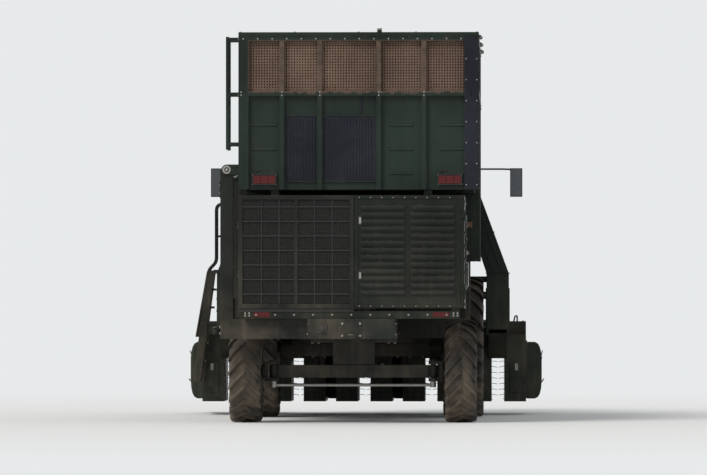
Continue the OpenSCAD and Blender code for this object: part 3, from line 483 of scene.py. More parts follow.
# These parts take the darker copy of the green paint as painted shade
dress(SHADE, "unit_boots", "bay_deck", "rear_door")
dress(RIM, "front_rim_left", "front_rim_right", "rear_rim_left", "rear_rim_right")
dress(TREAD, "front_tyre_left", "front_tyre_right", "rear_tyre_left", "rear_tyre_right")
dress(BRIGHT, "lift_rods", "tilt_rods")
dress(STEEL, "steering_rod", "rotary_screen", "picking_drums")
dress(GLASS, "cab_glass", "cab_door_glass")
dress(CAST, "engine")
dress(TANK, "tanks")
dress(HOT, "exhaust")
dress(BLACK, "mirrors", "cab_seat", "lamps")
# The screens take the brown colour, which is partly painted backlight
dress(RUST_AND_BACKLIGHT, "basket_screens", "lid_screens")

# Places that several pieces share

HANDS = (("left", -1), ("right", 1))
TRACK_X = 1350               # middle of the wheels
FRONT_Y, FRONT_R = 800, 920
REAR_Y, REAR_R = -2900, 640
KINGPIN_X = 1000
RAIL_X = 480
HINGE_X, HINGE_Z = -1550, 3150
POST_YS = (-300, -1750, -3820)
SIDE_RIBS = (766, 140, -460, -1060, -1570, -2200, -2800, -3400, -3966)
END_RIBS = (-1366, -860, -390, 340, 900, 1482)
BACK_Y = -4000               # rear face of the basket's ribs and of the engine bay
WALL_Y = -3941               # rear wall between its ribs
SCREEN_ZS = (4120, 4740)
RAIL_ZS = (4070, 4108)       # bolts on the rail below the screens
COOLER = (1400, -2850, 2130)
FAN_Y, FAN_Z = 1170, 2330
DUCT_XS = (-900, 0, 900)
ROWS = (-1800, -900, 0, 900, 1800)
TILT_YS = (-1690, -1850)     # tilt cylinders


# Basket

def basket_screens():
    """Perforated screens of the basket's sides and rear, brown with dust and trash and made lighter as
    painted backlight.
    """
    f = Form()
    for x in (-1336, 1516):
        f.lattice(0, x, (-3932, 732), SCREEN_ZS, 34, 20, 6)
    f.lattice(1, -3936, (-1332, 1512), SCREEN_ZS, 34, 20, 6)
    f.build("screen_lattice", "basket", [RUST_AND_BACKLIGHT], ["basket_screens"])


def lid_screens():
    """Perforated screens of the lid, in ten panels."""
    f = Form()
    for y in range(-3950, 0, 950):
        for x in (-1350, 115):
            f.lattice(2, 4825, (x, x + 1415), (y, y + 900), 40, 22, 6)
    f.build("lid_lattice", "basket_lid", [RUST_AND_BACKLIGHT], ["lid_screens"])


def basket_trim():
    """Pressed beads between the ribs, bolts on the rails, seams, and dark rear panels whose blue tint
    is a painted sky reflection.
    """
    f = Form()
    for x, out in ((1520, 1), (-1340, -1)):
        for a, b in zip(SIDE_RIBS, SIDE_RIBS[1:]):
            behind_post = out < 0 and any(abs(y - (a + b) / 2) < 330 for y in POST_YS)
            for z in (2300, 2660, 3020, 3380, 3740) if a > -1100 else (3220, 3500, 3780):
                if not (behind_post and abs(z - HINGE_Z) < 120):
                    f.strip(0, x, out, [(z - 24, 0), (z - 9, 11), (z + 9, 11), (z + 24, 0)],
                            b + 70, a - 70)
        face = x + out * 60
        for y in SIDE_RIBS:
            f.bolts([(face, y, z) for z in (*RAIL_ZS, 4760, 4782)], (out, 0, 0), 11, 7, 1)
            f.box((face - 1, y - 44, 4046), (face + 5, y + 44, 4058))
    for x in (-1081, 620, 1250):
        for z in (3100, 3400, 3700):
            f.strip(1, WALL_Y + 1, -1, [(z - 20, 0), (z - 8, 9), (z + 8, 9), (z + 20, 0)],
                    x - 150, x + 150)
    # Dark panels and slats whose blue tint is a painted sky reflection
    for x0, x1 in ((-815, -435), (-345, 295)):
        f.box((x0, -3958, 3010), (x1, WALL_Y, 3810), 2)
        for x in (x0 - 16, x1):
            f.box((x, -3966, 2990), (x + 16, WALL_Y, 3830))
        for z in (2992, 3812):
            f.box((x0, -3966, z), (x1, WALL_Y, z + 16))
        for i in range((x1 - x0) // 38):
            f.box((x0 + 14 + i * 38, -3964, 3020), (x0 + 26 + i * 38, -3957, 3800), 2)
    # Dark strips in the same panel colour, with its painted sky-blue tint
    f.box((104, -3952, 3840), (136, WALL_Y, 4058), 2)
    f.box((1402, -4007, 2904), (1576, BACK_Y, 4796), 2)
    f.bolts([(x, -4007, z) for x in (1424, 1554) for z in range(2960, 4760, 260)], BACK, 9, 6, 1)
    f.bolts([(x, BACK_Y, z) for x in END_RIBS for z in RAIL_ZS], BACK, 11, 7, 1)
    f.bolts([(x, BACK_Y, 4770) for x in range(-1340, 1560, 180)], BACK, 11, 7, 1)
    f.build("basket_beads", "basket", [GREEN, ZINC, PANEL], bevel=2)


def tail_lamps():
    """Lamp housings on the basket's rear wall, each with three fluted lenses."""
    f = Form()
    for x in (-1230, 1070):
        f.at(x)
        f.box((0, -3974, 2960), (300, WALL_Y, 3090))
        f.border(1, (0, 2960), (300, 3090), (-3986, -3973), 10)
        for a in (12, 105, 198):
            f.prism([(-3974, 2972), (-3982, 2976), (-3984, 3025), (-3982, 3074), (-3974, 3078)], 0,
                    a, a + 88, 1)
        f.bolts([(a, -3986, z) for a in (6, 294) for z in (2967, 3083)], BACK, 5, 4, 2)
        f.pipe([(40, -3950, 3088), (40, -3952, 3130), (120, -3946, 3150)], 14, 6, 3)
    f.build("tail_lamp_lenses", "basket", [BLACK, RED, ZINC, RUBBER],
            ["tail_lamps"], bevel=1.5)


def lid_trim():
    """Bolts and hinge caps of the lid, its handle, and the rods under its cross bars."""
    f = Form()
    f.bolts([(x, y, 4852) for y in range(-3975, 800, 950) for x in (-1375, -700, 90, 800, 1555)],
            Z, 12, 8, 1)
    for y in (400, -1600, -3600):
        for s in SIDES:
            f.rod((1604, y + s * 90, 4800), (1604, y + s * 100, 4800), 15, 1, 12)
        f.box((1400, y - 100, 4852), (1580, y + 100, 4858))
    for y in range(-3500, 800, 950):
        f.rod((-1350, y, 4815), (1530, y, 4815), 9, 2, 8)
    f.pipe([(326, -4004, 4862), (326, -4018, 4888), (374, -4018, 4888), (374, -4004, 4862)], 10, 8,
           1)
    f.build("lid_fittings", "basket_lid", [GREEN, ZINC, FRAME], bevel=1)


def post_trim():
    """Gussets, collars and grease caps on the posts that carry the basket's hinge."""
    f = Form()
    for y in POST_YS:
        for s in SIDES:
            f.rod((HINGE_X, y + s * 92, HINGE_Z), (HINGE_X, y + s * 104, HINGE_Z), 52, 1, 24)
            f.rod((HINGE_X, y + s * 104, HINGE_Z), (HINGE_X, y + s * 114, HINGE_Z), 20, 1, 6)
        f.prism([(1300, -1470), (1300, -1210), (1560, -1470)], 1, y - 8, y + 8)
        f.bolts([(-1630, y + a, z) for a in (-38, 38) for z in (1120, 1200, 2860, 2960)],
                (-1, 0, 0), 15, 12, 1)
        f.box((-1640, y - 52, 2800), (-1629, y + 52, 3010))
    f.build("post_gussets", "chassis", [FRAME, ZINC], bevel=2)


# Wheels

def tyre(name, body, x, y, r, w, rim, lugs, depth):
    """Tyre with chevron lugs that wrap over its shoulders, points to the front."""
    f = Form()
    half, base, mid = w / 2, r - depth, (r + rim) / 2
    f.at(x, y, r)
    # Section from the bead to the crown, as [radius, distance in from the side]
    section = [(rim, 20), (rim + 22, 6), (rim + 44, 16), (rim + 56, 2), (mid - 10, 6), (mid, 4),
               (mid + 12, 8), (mid + 60, 12), (base - 40, 22), (base - 8, 50), (base, 90),
               (base + 4, half)]
    profile = [(a, b - half) for a, b in section]
    profile += [(a, -b) for a, b in reversed(profile[:-1])]
    f.lathe(profile, (0, 0, 0), X, 96)
    sweep = radians(360 / lugs * 1.15)
    # Stations along a lug, as [share of the half width, depth of its top and foot, width]
    stations = ((-0.03, 0, 14, 0.5), (0.25, 0, 14, 0.52), (0.62, 2, 16, 0.56),
                (0.90, 8, 30, 0.62), (1.0, 34, 60, 0.62), (0.985, 92, 120, 0.5))
    for i in range(2 * lugs):
        hand = 1 if i % 2 else -1
        rings = []
        for share, top, foot, wide in stations:
            angle = tau * i / 2 / lugs - sweep * max(0.0, min(share, 1.0)) ** 1.15
            corners = [(radius, angle + depth * wide / r * grow) for radius, grow in
                       ((base - foot, -1.5), (base - foot, 1.5), (r - top, 0.82), (r - top, -0.82))]
            ring = [(hand * half * share, a * sin(t), a * cos(t)) for a, t in corners]
            rings.append(ring[::hand])
        f.loft(rings)
    f.build(name + "_rubber", body, [TREAD], [name], smooth=28)


def wheel_trim(body, rim_node, side, y, r, nut_ring, nuts, hub_x, hub_r):
    """Nuts, hub cover and valve on the outside of a rim."""
    disc_x = 1378
    f = Form()
    f.at(0, y, r, side)
    for p in circle((disc_x, 0, 0), 0, nut_ring, nuts):
        f.rod(p, p + Vector((30, 0, 0)), 9, 1, 8)
        f.rod(p, p + Vector((20, 0, 0)), 17, 1, 6)
    f.lathe([(hub_r - 6, -4), (hub_r - 6, 10), (hub_r - 26, 16), (hub_r * 0.45, 18),
             (hub_r * 0.45, 34), (hub_r * 0.38, 40), (0, 40)], (hub_x, 0, 0), X, 36)
    f.bolts(circle((hub_x + 14, 0, 0), 0, hub_r - 18, 12), X, 9, 8, 1)
    share = r / FRONT_R
    f.rod((disc_x + 10, nut_ring + 130 * share, 0), (disc_x + 70, nut_ring + 140 * share, 0), 6, 2,
          8)
    f.build(body + "_hub", body, [RIM, ZINC, RUBBER])


def wheels():
    """Tyres and hubs of both ends, on the left and then on the right."""
    # The sizes of a tyre are its width, rim radius, number of lugs and their depth. Those of a
    # hub are the radius and number of its wheel nuts, its place across and its radius.
    ends = (("front", FRONT_Y, FRONT_R, (530, 533, 23, 46), (228, 12, 1500, 170)),
            ("rear", REAR_Y, REAR_R, (400, 310, 20, 36), (140, 8, 1470, 100)))
    for hand, side in HANDS:
        for end, y, r, tyre_sizes, hub_sizes in ends:
            tyre(f"{end}_tyre_{hand}", f"{end}_wheel_{hand}", side * TRACK_X, y, r, *tyre_sizes)
        for end, y, r, tyre_sizes, hub_sizes in ends:
            wheel_trim(f"{end}_wheel_{hand}", f"{end}_rim_{hand}", side, y, r, *hub_sizes)


# Engine bay

def radiator():
    """Radiator core with fins, tubes, a guard and a rubber lip below."""
    f = Form()
    f.box((-1398, -4014, 1432), (32, -4001, 2828), 1)
    f.box((-1392, -4013, 1388), (30, -4003, 1434), 2)
    f.border(1, (-1400, 1430), (34, 2830), (-4040, -4013), 55)
    f.box((-706, -4039, 1484), (-660, -4013, 2776))
    for i in range(76):
        x = -1338 + i * 17.4
        if not -712 < x < -654:
            f.box((x, -4026, 1486), (x + 4, -4013, 2774), 1)
    for z in range(1500, 2780, 40):
        f.box((-1344, -4020, z), (-22, -4014, z + 8), 1)
    for z in range(1600, 2760, 180):
        f.box((-1344, -4038, z), (-22, -4032, z + 14), 2)
    for x in (-1120, -900, -460, -240):
        f.box((x, -4034, 1486), (x + 12, -4030, 2774), 2)
    f.build("radiator_core", "chassis", [FRAME, FINS, BLACK], ["radiator"], bevel=1.5)


def bay_doors():
    """Louvres, edge strips and latches of the rear door and the side door."""
    f = Form()
    f.louvres(1, -4040, -1, ((120, 660), (740, 1280)), range(1600, 2660, 88))
    for z in (1440, 2784):
        f.box((48, -4048, z), (1386, -4041, z + 36))
    for x in (48, 1316):
        f.box((x, -4048, 1476), (x + 36, -4041, 2784))
    for z in (1780, 2460):
        f.box((88, -4058, z), (132, -4041, z + 120), 1)
        f.box((96, -4064, z + 18), (124, -4057, z + 96), 2)
    f.bolts([(x, -4048, z) for x in range(100, 1360, 140) for z in (1458, 2802)], BACK, 8, 5, 2)
    # The rear door's louvres and strips take the darker copy of the green paint as painted shade
    f.build("rear_door_louvres", "engine_rear_door", [SHADE, BLACK, ZINC], bevel=1.5)

    f = Form()
    f.louvres(0, -1400, -1, ((-3480, -2900), (-2780, -2200)), range(1700, 2560, 88))
    f.border(0, (-3612, 1514), (-2100, 2706), (-1408, -1401), 36)
    for z in (1800, 2400):
        f.box((-1420, -3566, z), (-1401, -3526, z + 130), 1)
        f.box((-1428, -3558, z + 20), (-1419, -3534, z + 100), 2)
    f.build("side_door_louvres", "engine_side_door", [GREEN, BLACK, ZINC], bevel=1.5)


def bay_trim():
    """Ring and feed pipe of the round screen, wall strips and beads, handle and rear lamps."""
    f = Form()
    f.at(*COOLER)
    f.lathe([(474, 0), (474, 12), (462, 18), (440, 18), (440, 0)], (0, 0, 0), X, 64)
    f.bolts(circle((12, 0, 0), 0, 457, 16), X, 9, 14, 2)
    f.pipe([(4, 490, 0), (32, 450, 0), (32, 30, 0), (12, 0, 0)], 30, 17, 1)
    f.rod((2, 0, 0), (36, 0, 0), 30, 2)
    f.at()
    for y0, y1, z in ((-3960, -3420, 1460), (-3960, -2020, 2730), (-2280, -2020, 1460)):
        f.box((1401, y0, z), (1407, y1, z + 40))
    for y0, y1 in ((-3940, -3400), (-2300, -2030)):
        for z in range(1560, 2680, 160):
            f.strip(0, 1400, 1, [(z - 20, 0), (z - 8, 9), (z + 8, 9), (z + 20, 0)], y0, y1)
    f.pipe([(1401, -3380, 1700), (1440, -3380, 1700), (1440, -3380, 2000), (1401, -3380, 2000)],
           30, 11, 2)
    f.bolts([(s * x, BACK_Y, z) for s in SIDES for x in (1265, 1315) for z in (1340, 1370)], BACK,
            13, 10, 2)
    f.bolts([(x, BACK_Y, 1350) for x in range(-1180, 1200, 236)], BACK, 13, 10, 2)
    for s in SIDES:
        f.box((s * 1010, -4006, 1322), (s * 1210, -3999, 1384), 3)
    f.build("bay_fittings", "chassis", [GREEN, FRAME, ZINC, RED], bevel=1.5)


def cooling_mesh():
    """Turning screen of rings and spokes round a hub."""
    f = Form()
    f.at(*COOLER)
    f.lathe([(430, -12), (430, 0), (404, 0), (404, -12), (430, -12)], (0, 0, 0), X, 72)
    for r in range(66, 400, 29):
        f.lathe([(r + 7, -9), (r + 7, -3), (r - 7, -3), (r - 7, -9), (r + 7, -9)], (0, 0, 0), X, 60)
    f.lathe([(45, -60), (45, -2), (62, -2), (62, 0), (30, 8), (0, 8)], (0, 0, 0), X, 30, 1)
    for i in range(80):
        f.at(*COOLER, lean=4.5 * i)
        f.box((-10, -5, 44 if i % 2 else 180), (-2, 5, 406))
    f.build("cooling_mesh", "cooling_screen", [CAST, ZINC], ["rotary_screen"])


def engine_parts():
    """Engine behind its doors: block, heads, covers, manifolds, filters, belts and fan."""
    f = Form()
    f.box((-270, -3380, 1420), (270, -2220, 1900))
    f.prism([(1900, -270), (1900, 270), (2140, 210), (2140, -210)], 1, -3360, -2240)
    f.box((-340, -3560, 1440), (340, -3380, 2080))
    f.box((-200, -3300, 1302), (200, -2300, 1421), 1)
    for i in range(6):
        f.at(y=-3270 + i * 178)
        f.box((-180, 0, 2139), (180, 150, 2230))
        f.box((-120, 14, 2229), (120, 136, 2300), 1)
        f.bolts([(x, 75, 2300) for x in (-70, 70)], Z, 14, 14, 2)
        f.pipe([(180, 75, 2180), (300, 75, 2180), (330, 75, 2120)], 40, 30, 3)
        f.pipe([(-180, 75, 2190), (-290, 75, 2190), (-320, 75, 2160)], 30, 26)
    f.at()
    f.rod((340, -3240, 2110), (340, -2280, 2110), 52, 3, 18)
    f.rod((-335, -3240, 2140), (-335, -2260, 2140), 58, 0, 18)
    f.lathe([(60, 0), (110, 20), (118, 60), (80, 90), (80, 130), (112, 150), (100, 200), (50, 210)],
            (345, -2400, 2240), Y, 28, 3)
    for y in (-3150, -2980, -2810):
        f.lathe([(0, 0), (50, 0), (54, 20), (54, 190), (44, 210), (0, 210)], (-330, y, 1560), Z, 20,
                4)
    f.lathe([(0, 0), (150, 0), (170, 30), (170, 640), (150, 670), (60, 680), (60, 740), (0, 740)],
            (240, -3520, 2280), Y, 32, 4)
    for x, z, r in ((0, 1600, 130), (0, 2010, 110), (220, 1860, 70), (-220, 1750, 60)):
        f.lathe([(0, 0), (r, 0), (r - 14, 18), (r - 14, 34), (r, 50), (0, 50)], (x, -3600, z), Y,
                28, 2)
    f.pipe([(128, -3575, 1600), (112, -3575, 2010), (-112, -3575, 2010), (-128, -3575, 1600),
            (128, -3575, 1600)], 20, 9, 4, 6)
    f.rod((300, -3560, 1800), (300, -3400, 1800), 90, 2, 24)
    f.tube(bent([(-300, -3560, 2060), (-420, -3600, 2200), (-430, -3400, 2380), (-335, -3240, 2240)],
                120, 8), 44, 4, 12)
    f.box((-460, -2215, 1440), (460, -2122, 2060), 1)
    f.lathe([(0, 0), (330, 0), (330, 60), (250, 110), (0, 110)], (0, -2260, 1700), BACK, 32)
    f.build("engine_parts", "chassis", [CAST, FRAME, ZINC, HOT, BLACK], ["engine"],
            bevel=4)


def tanks():
    """Moulded tanks with straps, ribs, caps and gauges."""
    for hand, side in HANDS:
        f = Form()
        f.at(side=side)
        f.box((540, -1500, 1080), (1300, -360, 1900))
        f.build(f"tank_body_{hand}", "chassis", [TANK], ["tanks"] if side > 0 else (),
                bevel=75, rounds=4)
        f = Form()
        f.at(side=side)
        for y in (-1310, -940, -570):
            f.pipe([(536, y, 1090), (536, y, 1904), (1304, y, 1904), (1304, y, 1090)], 80, 10, 0, 6)
        for y in (-1400, -1220, -1030, -850, -660, -480):
            f.box((1297, y - 26, 1190), (1303, y + 26, 1790), 1)
        f.lathe([(0, 0), (74, 0), (74, 24), (62, 30), (62, 58), (52, 66), (0, 66)],
                (1180, -470, 1896), Z, 28, 2)
        f.box((1300, -1010, 1200), (1309, -986, 1780), 3)
        f.build(f"tank_fittings_{hand}", "chassis", [FRAME, TANK, BLACK, CLEAR], bevel=2)


# Cab

def cab_seals():
    """Window seals of the cab, its wiper and the blinds at the top of the windscreen."""
    f = Form()
    f.border(1, (-782, 2208), (782, 3562), (3452, 3476), 26)
    f.border(0, (2068, 2458), (3432, 3562), (802, 826), 26)
    f.border(1, (-782, 2658), (782, 3562), (2024, 2048), 26)
    f.pipe([(60, 3484, 2190), (60, 3500, 2230), (-300, 3500, 2880)], 30, 9, 1)
    f.tube([(-300, 3488, 2440), (-300, 3488, 3260)], 8, 1, 6)
    f.box((-10, 3470, 2150), (130, 3512, 2206), 1)
    for x in (-500, 500):
        f.box((x - 180, 3428, 3420), (x + 180, 3436, 3560), 1)
    f.build("cab_seals", "chassis", [RUBBER, BLACK], bevel=2)


def cab_top():
    """Roof cap with its visor, air grilles and lining, four lamps and a beacon."""
    f = Form()
    f.box((-910, 1940, 3640), (910, 3660, 3744))
    f.build("roof_cap", "chassis", [GREEN], ["cab_roof"], bevel=46, rounds=4)

    f = Form()
    f.prism([(2030, 3742), (3560, 3742), (3490, 3788), (2110, 3788)], 0, -820, 820)
    for x in range(-600, 600, 190):
        f.box((x, 2200, 3786), (x + 40, 3400, 3790))
    for x in (-480, 480):
        f.box((x - 210, 1934, 3662), (x + 210, 1941, 3722), 1)
        for z in range(3668, 3720, 9):
            f.box((x - 200, 1930, z), (x + 200, 1938, z + 3))
    f.box((-870, 3655, 3650), (870, 3663, 3660), 1)
    f.box((-770, 2072, 3600), (770, 3428, 3639), 2)
    for x in (-300, 300):
        f.box((x - 70, 2500, 3590), (x + 70, 2600, 3601), 1)
    f.build("roof_fittings", "chassis", [GREEN, BLACK, LINER], bevel=3)

    f = Form()
    for x in (-700, -350, 350, 700):
        f.at(x)
        f.box((-70, 3660, 3670), (70, 3706, 3770))
        f.box((-60, 3705, 3680), (60, 3718, 3760), 1)
        f.border(1, (-70, 3670), (70, 3770), (3700, 3720), 10)
        f.pipe([(0, 3690, 3668), (0, 3690, 3650), (0, 3640, 3644)], 10, 9)
    f.at(0, 2200, 3788)
    f.lathe([(0, 0), (62, 0), (62, 26), (50, 34), (50, 36)], (0, 0, 0), Z, 28)
    f.lathe([(50, 35), (52, 85), (44, 127), (22, 147), (0, 151)], (0, 0, 0), Z, 28, 2)
    f.build("roof_lamps", "chassis", [BLACK, CLEAR, AMBER], ["lamps"], bevel=4)


def mirrors():
    """Mirror heads with faces darkened as a painted dark reflection, on long arms with stays and
    brackets.
    """
    f = Form()
    for side in SIDES:
        f.at(side=side)
        f.pipe([(830, 3540, 3340), (1900, 3560, 3340), (2050, 3566, 3330)], 60, 13)
        f.pipe([(830, 3530, 3200), (1100, 3548, 3330)], 20, 9)
        f.box((790, 3500, 3180), (840, 3552, 3370))
        f.at(2050, side=side)
        f.prism([(-84, 3536), (84, 3536), (84, 3556), (52, 3582), (-52, 3582), (-84, 3556)], 2, 2960,
                3352, 1)
        f.prism([(-30, 3580), (30, 3580), (24, 3588), (-24, 3588)], 2, 3060, 3250, 1)
        f.box((-74, 3531, 2972), (74, 3537, 3340), 2)
    f.build("mirror_heads", "chassis", [BLACK, BLACK, MIRROR], ["mirrors"], bevel=9,
            rounds=3)


def cab_door():
    """Seal of the cab door's window, its lock and its two grab handles."""
    f = Form()
    f.border(0, (2318, 2068), (3366, 3496), (-836, -818), 22)
    f.box((-866, 2276, 2560), (-849, 2306, 2740), 1)
    f.pipe([(-852, 2290, 2580), (-884, 2290, 2580), (-884, 2290, 2720), (-852, 2290, 2720)], 14, 8,
           2)
    f.pipe([(-806, 2340, 2300), (-790, 2340, 2300), (-790, 2340, 2800), (-806, 2340, 2800)], 14, 9,
           1)
    f.build("door_fittings", "left_cab_door", [RUBBER, BLACK, ZINC], bevel=2)


def cab_inside():
    """Seat, console with levers and screen, steering column and wheel, pedals and mat."""
    f = Form()
    for i in range(6):
        grow = 14 if i % 2 else 0
        f.box((-170 - grow, 2420 - grow, 1990 + i * 38), (170 + grow, 2710 + grow, 2028 + i * 38), 1)
    f.box((-210, 2390, 1961), (210, 2740, 1991))
    f.box((-240, 2380, 2216), (240, 2780, 2262))
    for side in SIDES:
        f.at(side=side)
        f.box((264, 2400, 2520), (336, 2760, 2566), 1)
        f.box((248, 2400, 2260), (276, 2470, 2530))
    f.at()
    f.box((-40, 2290, 2960), (40, 2320, 3060))
    f.build("seat_frame", "chassis", [BLACK, RUBBER], ["cab_seat"], bevel=8, rounds=3)

    f = Form()
    f.prism([(2300, 1962), (3000, 1962), (3000, 2380), (2700, 2520), (2300, 2520)], 0, 340, 560)
    f.box((352, 2720, 2440), (548, 2960, 2448), 1)
    f.pipe([(420, 2780, 2440), (420, 2800, 2560), (414, 2790, 2640)], 40, 13, 1)
    f.lathe([(0, 0), (24, 4), (30, 40), (24, 90), (0, 98)], (414, 2790, 2610), Z, 18, 1)
    for x in range(380, 530, 36):
        f.rod((x, 2620, 2515), (x, 2630, 2560), 7, 2, 8)
        f.rod((x, 2630, 2556), (x, 2632, 2580), 12, 1, 10)
    f.pipe([(480, 2960, 2420), (480, 3060, 2700), (480, 3080, 2760)], 60, 14, 1)
    f.box((380, 3070, 2740), (580, 3096, 2900), 1)
    f.box((392, 3066, 2752), (568, 3071, 2888), 3)
    for x in (-190, 190):
        f.box((x - 40, 3300, 2020), (x + 40, 3312, 2130), 2)
        f.tube([(x, 3306, 2030), (x, 3390, 1990)], 10, 1)
    f.box((-760, 2080, 1960), (760, 3420, 1972), 4)
    f.box((-190, 3200, 2300), (190, 3330, 2420))
    f.at(0, 3250, 1980, lean=18)
    f.lathe([(0, -20), (70, -20), (62, 60), (44, 120), (40, 640), (52, 660), (52, 745), (0, 752)],
            (0, 0, 0), Z, 24, 1)
    ring = circle((0, 0, 740), 2, 190, 48)
    f.tube(ring + ring[:1], 15, 1, 10)
    for a, b in zip(circle((0, 0, 744), 2, 30, 3), circle((0, 0, 740), 2, 186, 3)):
        f.rod(a, b, 10, 2, 8)
    f.build("cab_controls", "chassis", [GREY, BLACK, ZINC, PANEL, RUBBER], bevel=5)


def swell(obj, frames=20, limit=0.02):
    """Blow a closed form up by a cloth simulation with pressure inside it, up to a limit."""
    rest = [v.co.copy() for v in obj.data.vertices]
    cloth = obj.modifiers.new("cloth", "CLOTH")
    cloth.settings.use_pressure = True
    cloth.settings.uniform_pressure_force = 4.0
    cloth.settings.effector_weights.gravity = 0.0
    cloth.point_cache.frame_start, cloth.point_cache.frame_end = 1, frames
    for number in range(1, frames + 1):
        bpy.context.scene.frame_set(number)
    bpy.ops.object.modifier_apply(modifier="cloth")
    bpy.context.scene.frame_set(1)
    for v, home in zip(obj.data.vertices, rest):
        push = v.co - home
        if push.length > limit:
            v.co = home + push.normalized() * limit


def seat_cushions():
    """Crowned seat and back cushions, swollen by a cloth simulation and then seamed."""
    crown_deep, seam_deep, voxel = 0.012, 0.007, 0.012
    # Places and width of the seams, as shares of a cushion's half length and half width
    long_seams, end_seam, seam_wide = (-0.45, 0.0, 0.45), 0.62, 0.035
    for name, lo, hi in (("seat_cushion", (-245, 2375, 2268), (245, 2845, 2372)),
                         ("back_cushion", (-228, 2296, 2385), (228, 2374, 2985)),
                         ("head_cushion", (-130, 2300, 3042), (130, 2370, 3200))):
        f = Form()
        f.box(lo, hi)
        obj = f.build(name, "chassis", [CLOTH], bevel=22, rounds=4)
        bpy.context.view_layer.objects.active = obj
        bpy.ops.object.modifier_apply(modifier="edges")
        remesh = obj.modifiers.new("even", "REMESH")
        remesh.mode, remesh.voxel_size = "VOXEL", voxel
        bpy.ops.object.modifier_apply(modifier="even")
        swell(obj)
        half = [(b - a) / 2000 for a, b in zip(lo, hi)]
        mid = [(b + a) / 2000 for a, b in zip(lo, hi)]
        thin = half.index(min(half))
        wide = [k for k in range(3) if k != thin]
        for v in obj.data.vertices:
            u, w = ((v.co[k] - mid[k]) / half[k] for k in wide)
            crown = max(0.0, 1 - u * u) * max(0.0, 1 - w * w)
            seams = sum(exp(-((w - line) / seam_wide) ** 2) for line in long_seams)
            seams += exp(-((abs(u) - end_seam) / seam_wide) ** 2)
            side = 1 if v.co[thin] > mid[thin] else -1
            v.co[thin] += side * (crown_deep * crown - seam_deep * min(1.0, seams) * (crown > 0))
        for p in obj.data.polygons:
            p.use_smooth = True
        smooth = obj.modifiers.new("finer", "SUBSURF")
        smooth.levels = smooth.render_levels = 1


def walkway():
    """Grated platform and steps with bent handrails on the left of the cab."""
    f = Form()
    for (x0, y0), (x1, y1) in (((-2000, 1760), (-1100, 2160)), ((-1500, 2160), (-852, 3400))):
        f.border(2, (x0, y0), (x1, y1), (1900, 1940), 14)
        f.lattice(2, 1928, (x0 + 14, x1 - 14), (y0 + 14, y1 - 14), 34, 5, 22, 1)
    for y in (1935, 3240):
        f.box((-1480, y, 1840), (-852, y + 60, 1899))
        f.box((-853, y, 1840), (-540, y + 60, 1899))
    for y in (1775, 2115):
        f.prism([(450, -2280), (450, -2180), (1940, -1990), (1940, -2090)], 1, y, y + 25)
    for i in range(6):
        x, z = -2270 + i * 31, 470 + i * 240
        f.border(2, (x, 1800), (x + 140, 2115), (z, z + 30), 8)
        f.lattice(2, z + 20, (x + 8, x + 132), (1808, 2107), 24, 5, 14, 1)
    for y in (1790, 2130):
        f.pipe([(-2235, y, 1050), (-2075, y, 1960), (-1975, y, 2050), (-1975, y, 2835),
                (-1515, y, 2835), (-1515, y, 1938)], 90, 16, 2, 10)
        f.tube([(-1975, y, 2400), (-1515, y, 2400)], 13, 2, 8)
        for x in (-1975, -1515):
            f.box((x - 34, y - 18, 1939), (x + 34, y + 18, 1950))
    f.box((-1500, 3392, 1938), (-880, 3400, 1962))
    f.build("walkway_grating", "chassis", [FRAME, ZINC, FRAME], ["walkway"], bevel=2)


# Air ducts, fans and exhaust

def outer_x(share, z):
    """Place across an outer duct at a height, from its inner wall (0) to its outer wall (1)."""
    return 1650 + 300 * share - (0.3324 + 0.0352 * share) * (z - 1900)


def duct_trim():
    """Flanges, bolts, lips and rubber seals of the air ducts."""
    f = Form()
    for x in DUCT_XS:
        f.at(x)
        for z in (2000, 2550, 3100, 3650):
            y0, y1 = 1745 - 0.428 * (z - 2000), 1925 - 0.365 * (z - 2000)
            f.border(2, (-188, y0 - 13), (188, y1 + 13), (z - 4, z + 4), 15)
            f.bolts([(a, y, z + 4) for a in (-181, -60, 60, 181) for y in (y0 - 6, y1 + 6)], Z, 6,
                    5, 1)
        f.border(1, (-186, 1150), (186, 1704), (1925, 1935), 12)
        f.border(1, (-188, 4166), (188, 4494), (802, 824), 16, 2)
        f.box((-120, 1926, 1760), (120, 1934, 1960))
        f.bolts([(a, 1934, z) for a in (-104, 104) for z in (1776, 1944)], Y, 8, 6, 1)
    for side in SIDES:
        f.at(side=side)
        for z in (1900, 2450, 3000, 3550):
            lo, hi = outer_x(0, z) - 13, outer_x(1, z) + 13
            f.border(2, (lo, 1532), (hi, 1738), (z - 4, z + 4), 15)
            f.bolts([(x, y, z + 4) for x in (lo + 6, (lo + hi) / 2, hi - 6) for y in (1538, 1732)],
                    Z, 6, 5, 1)
        for share in (0.3, 0.7):
            for z0, z1 in ((1960, 2400), (2500, 2950), (3050, 3500)):
                x0, x1 = outer_x(share, z0), outer_x(share, z1)
                for y in (1538, 1725):
                    f.prism([(z0, x0 - 16), (z0, x0 + 16), (z1, x1 + 16), (z1, x1 - 16)], 1, y, y + 7)
        f.border(1, (1639, 1150), (1961, 1704), (1725, 1735), 12)
        f.border(1, (1072, 4166), (1338, 4494), (802, 824), 16, 2)
        for z in (1240, 1400, 1560):
            f.prism([(1560, z - 16), (1560, z + 16), (1715, z + 16), (1715, z - 16)], 0, 1950, 1957)
    f.build("duct_flanges", "chassis", [GREEN, ZINC, RUBBER], bevel=1.5)


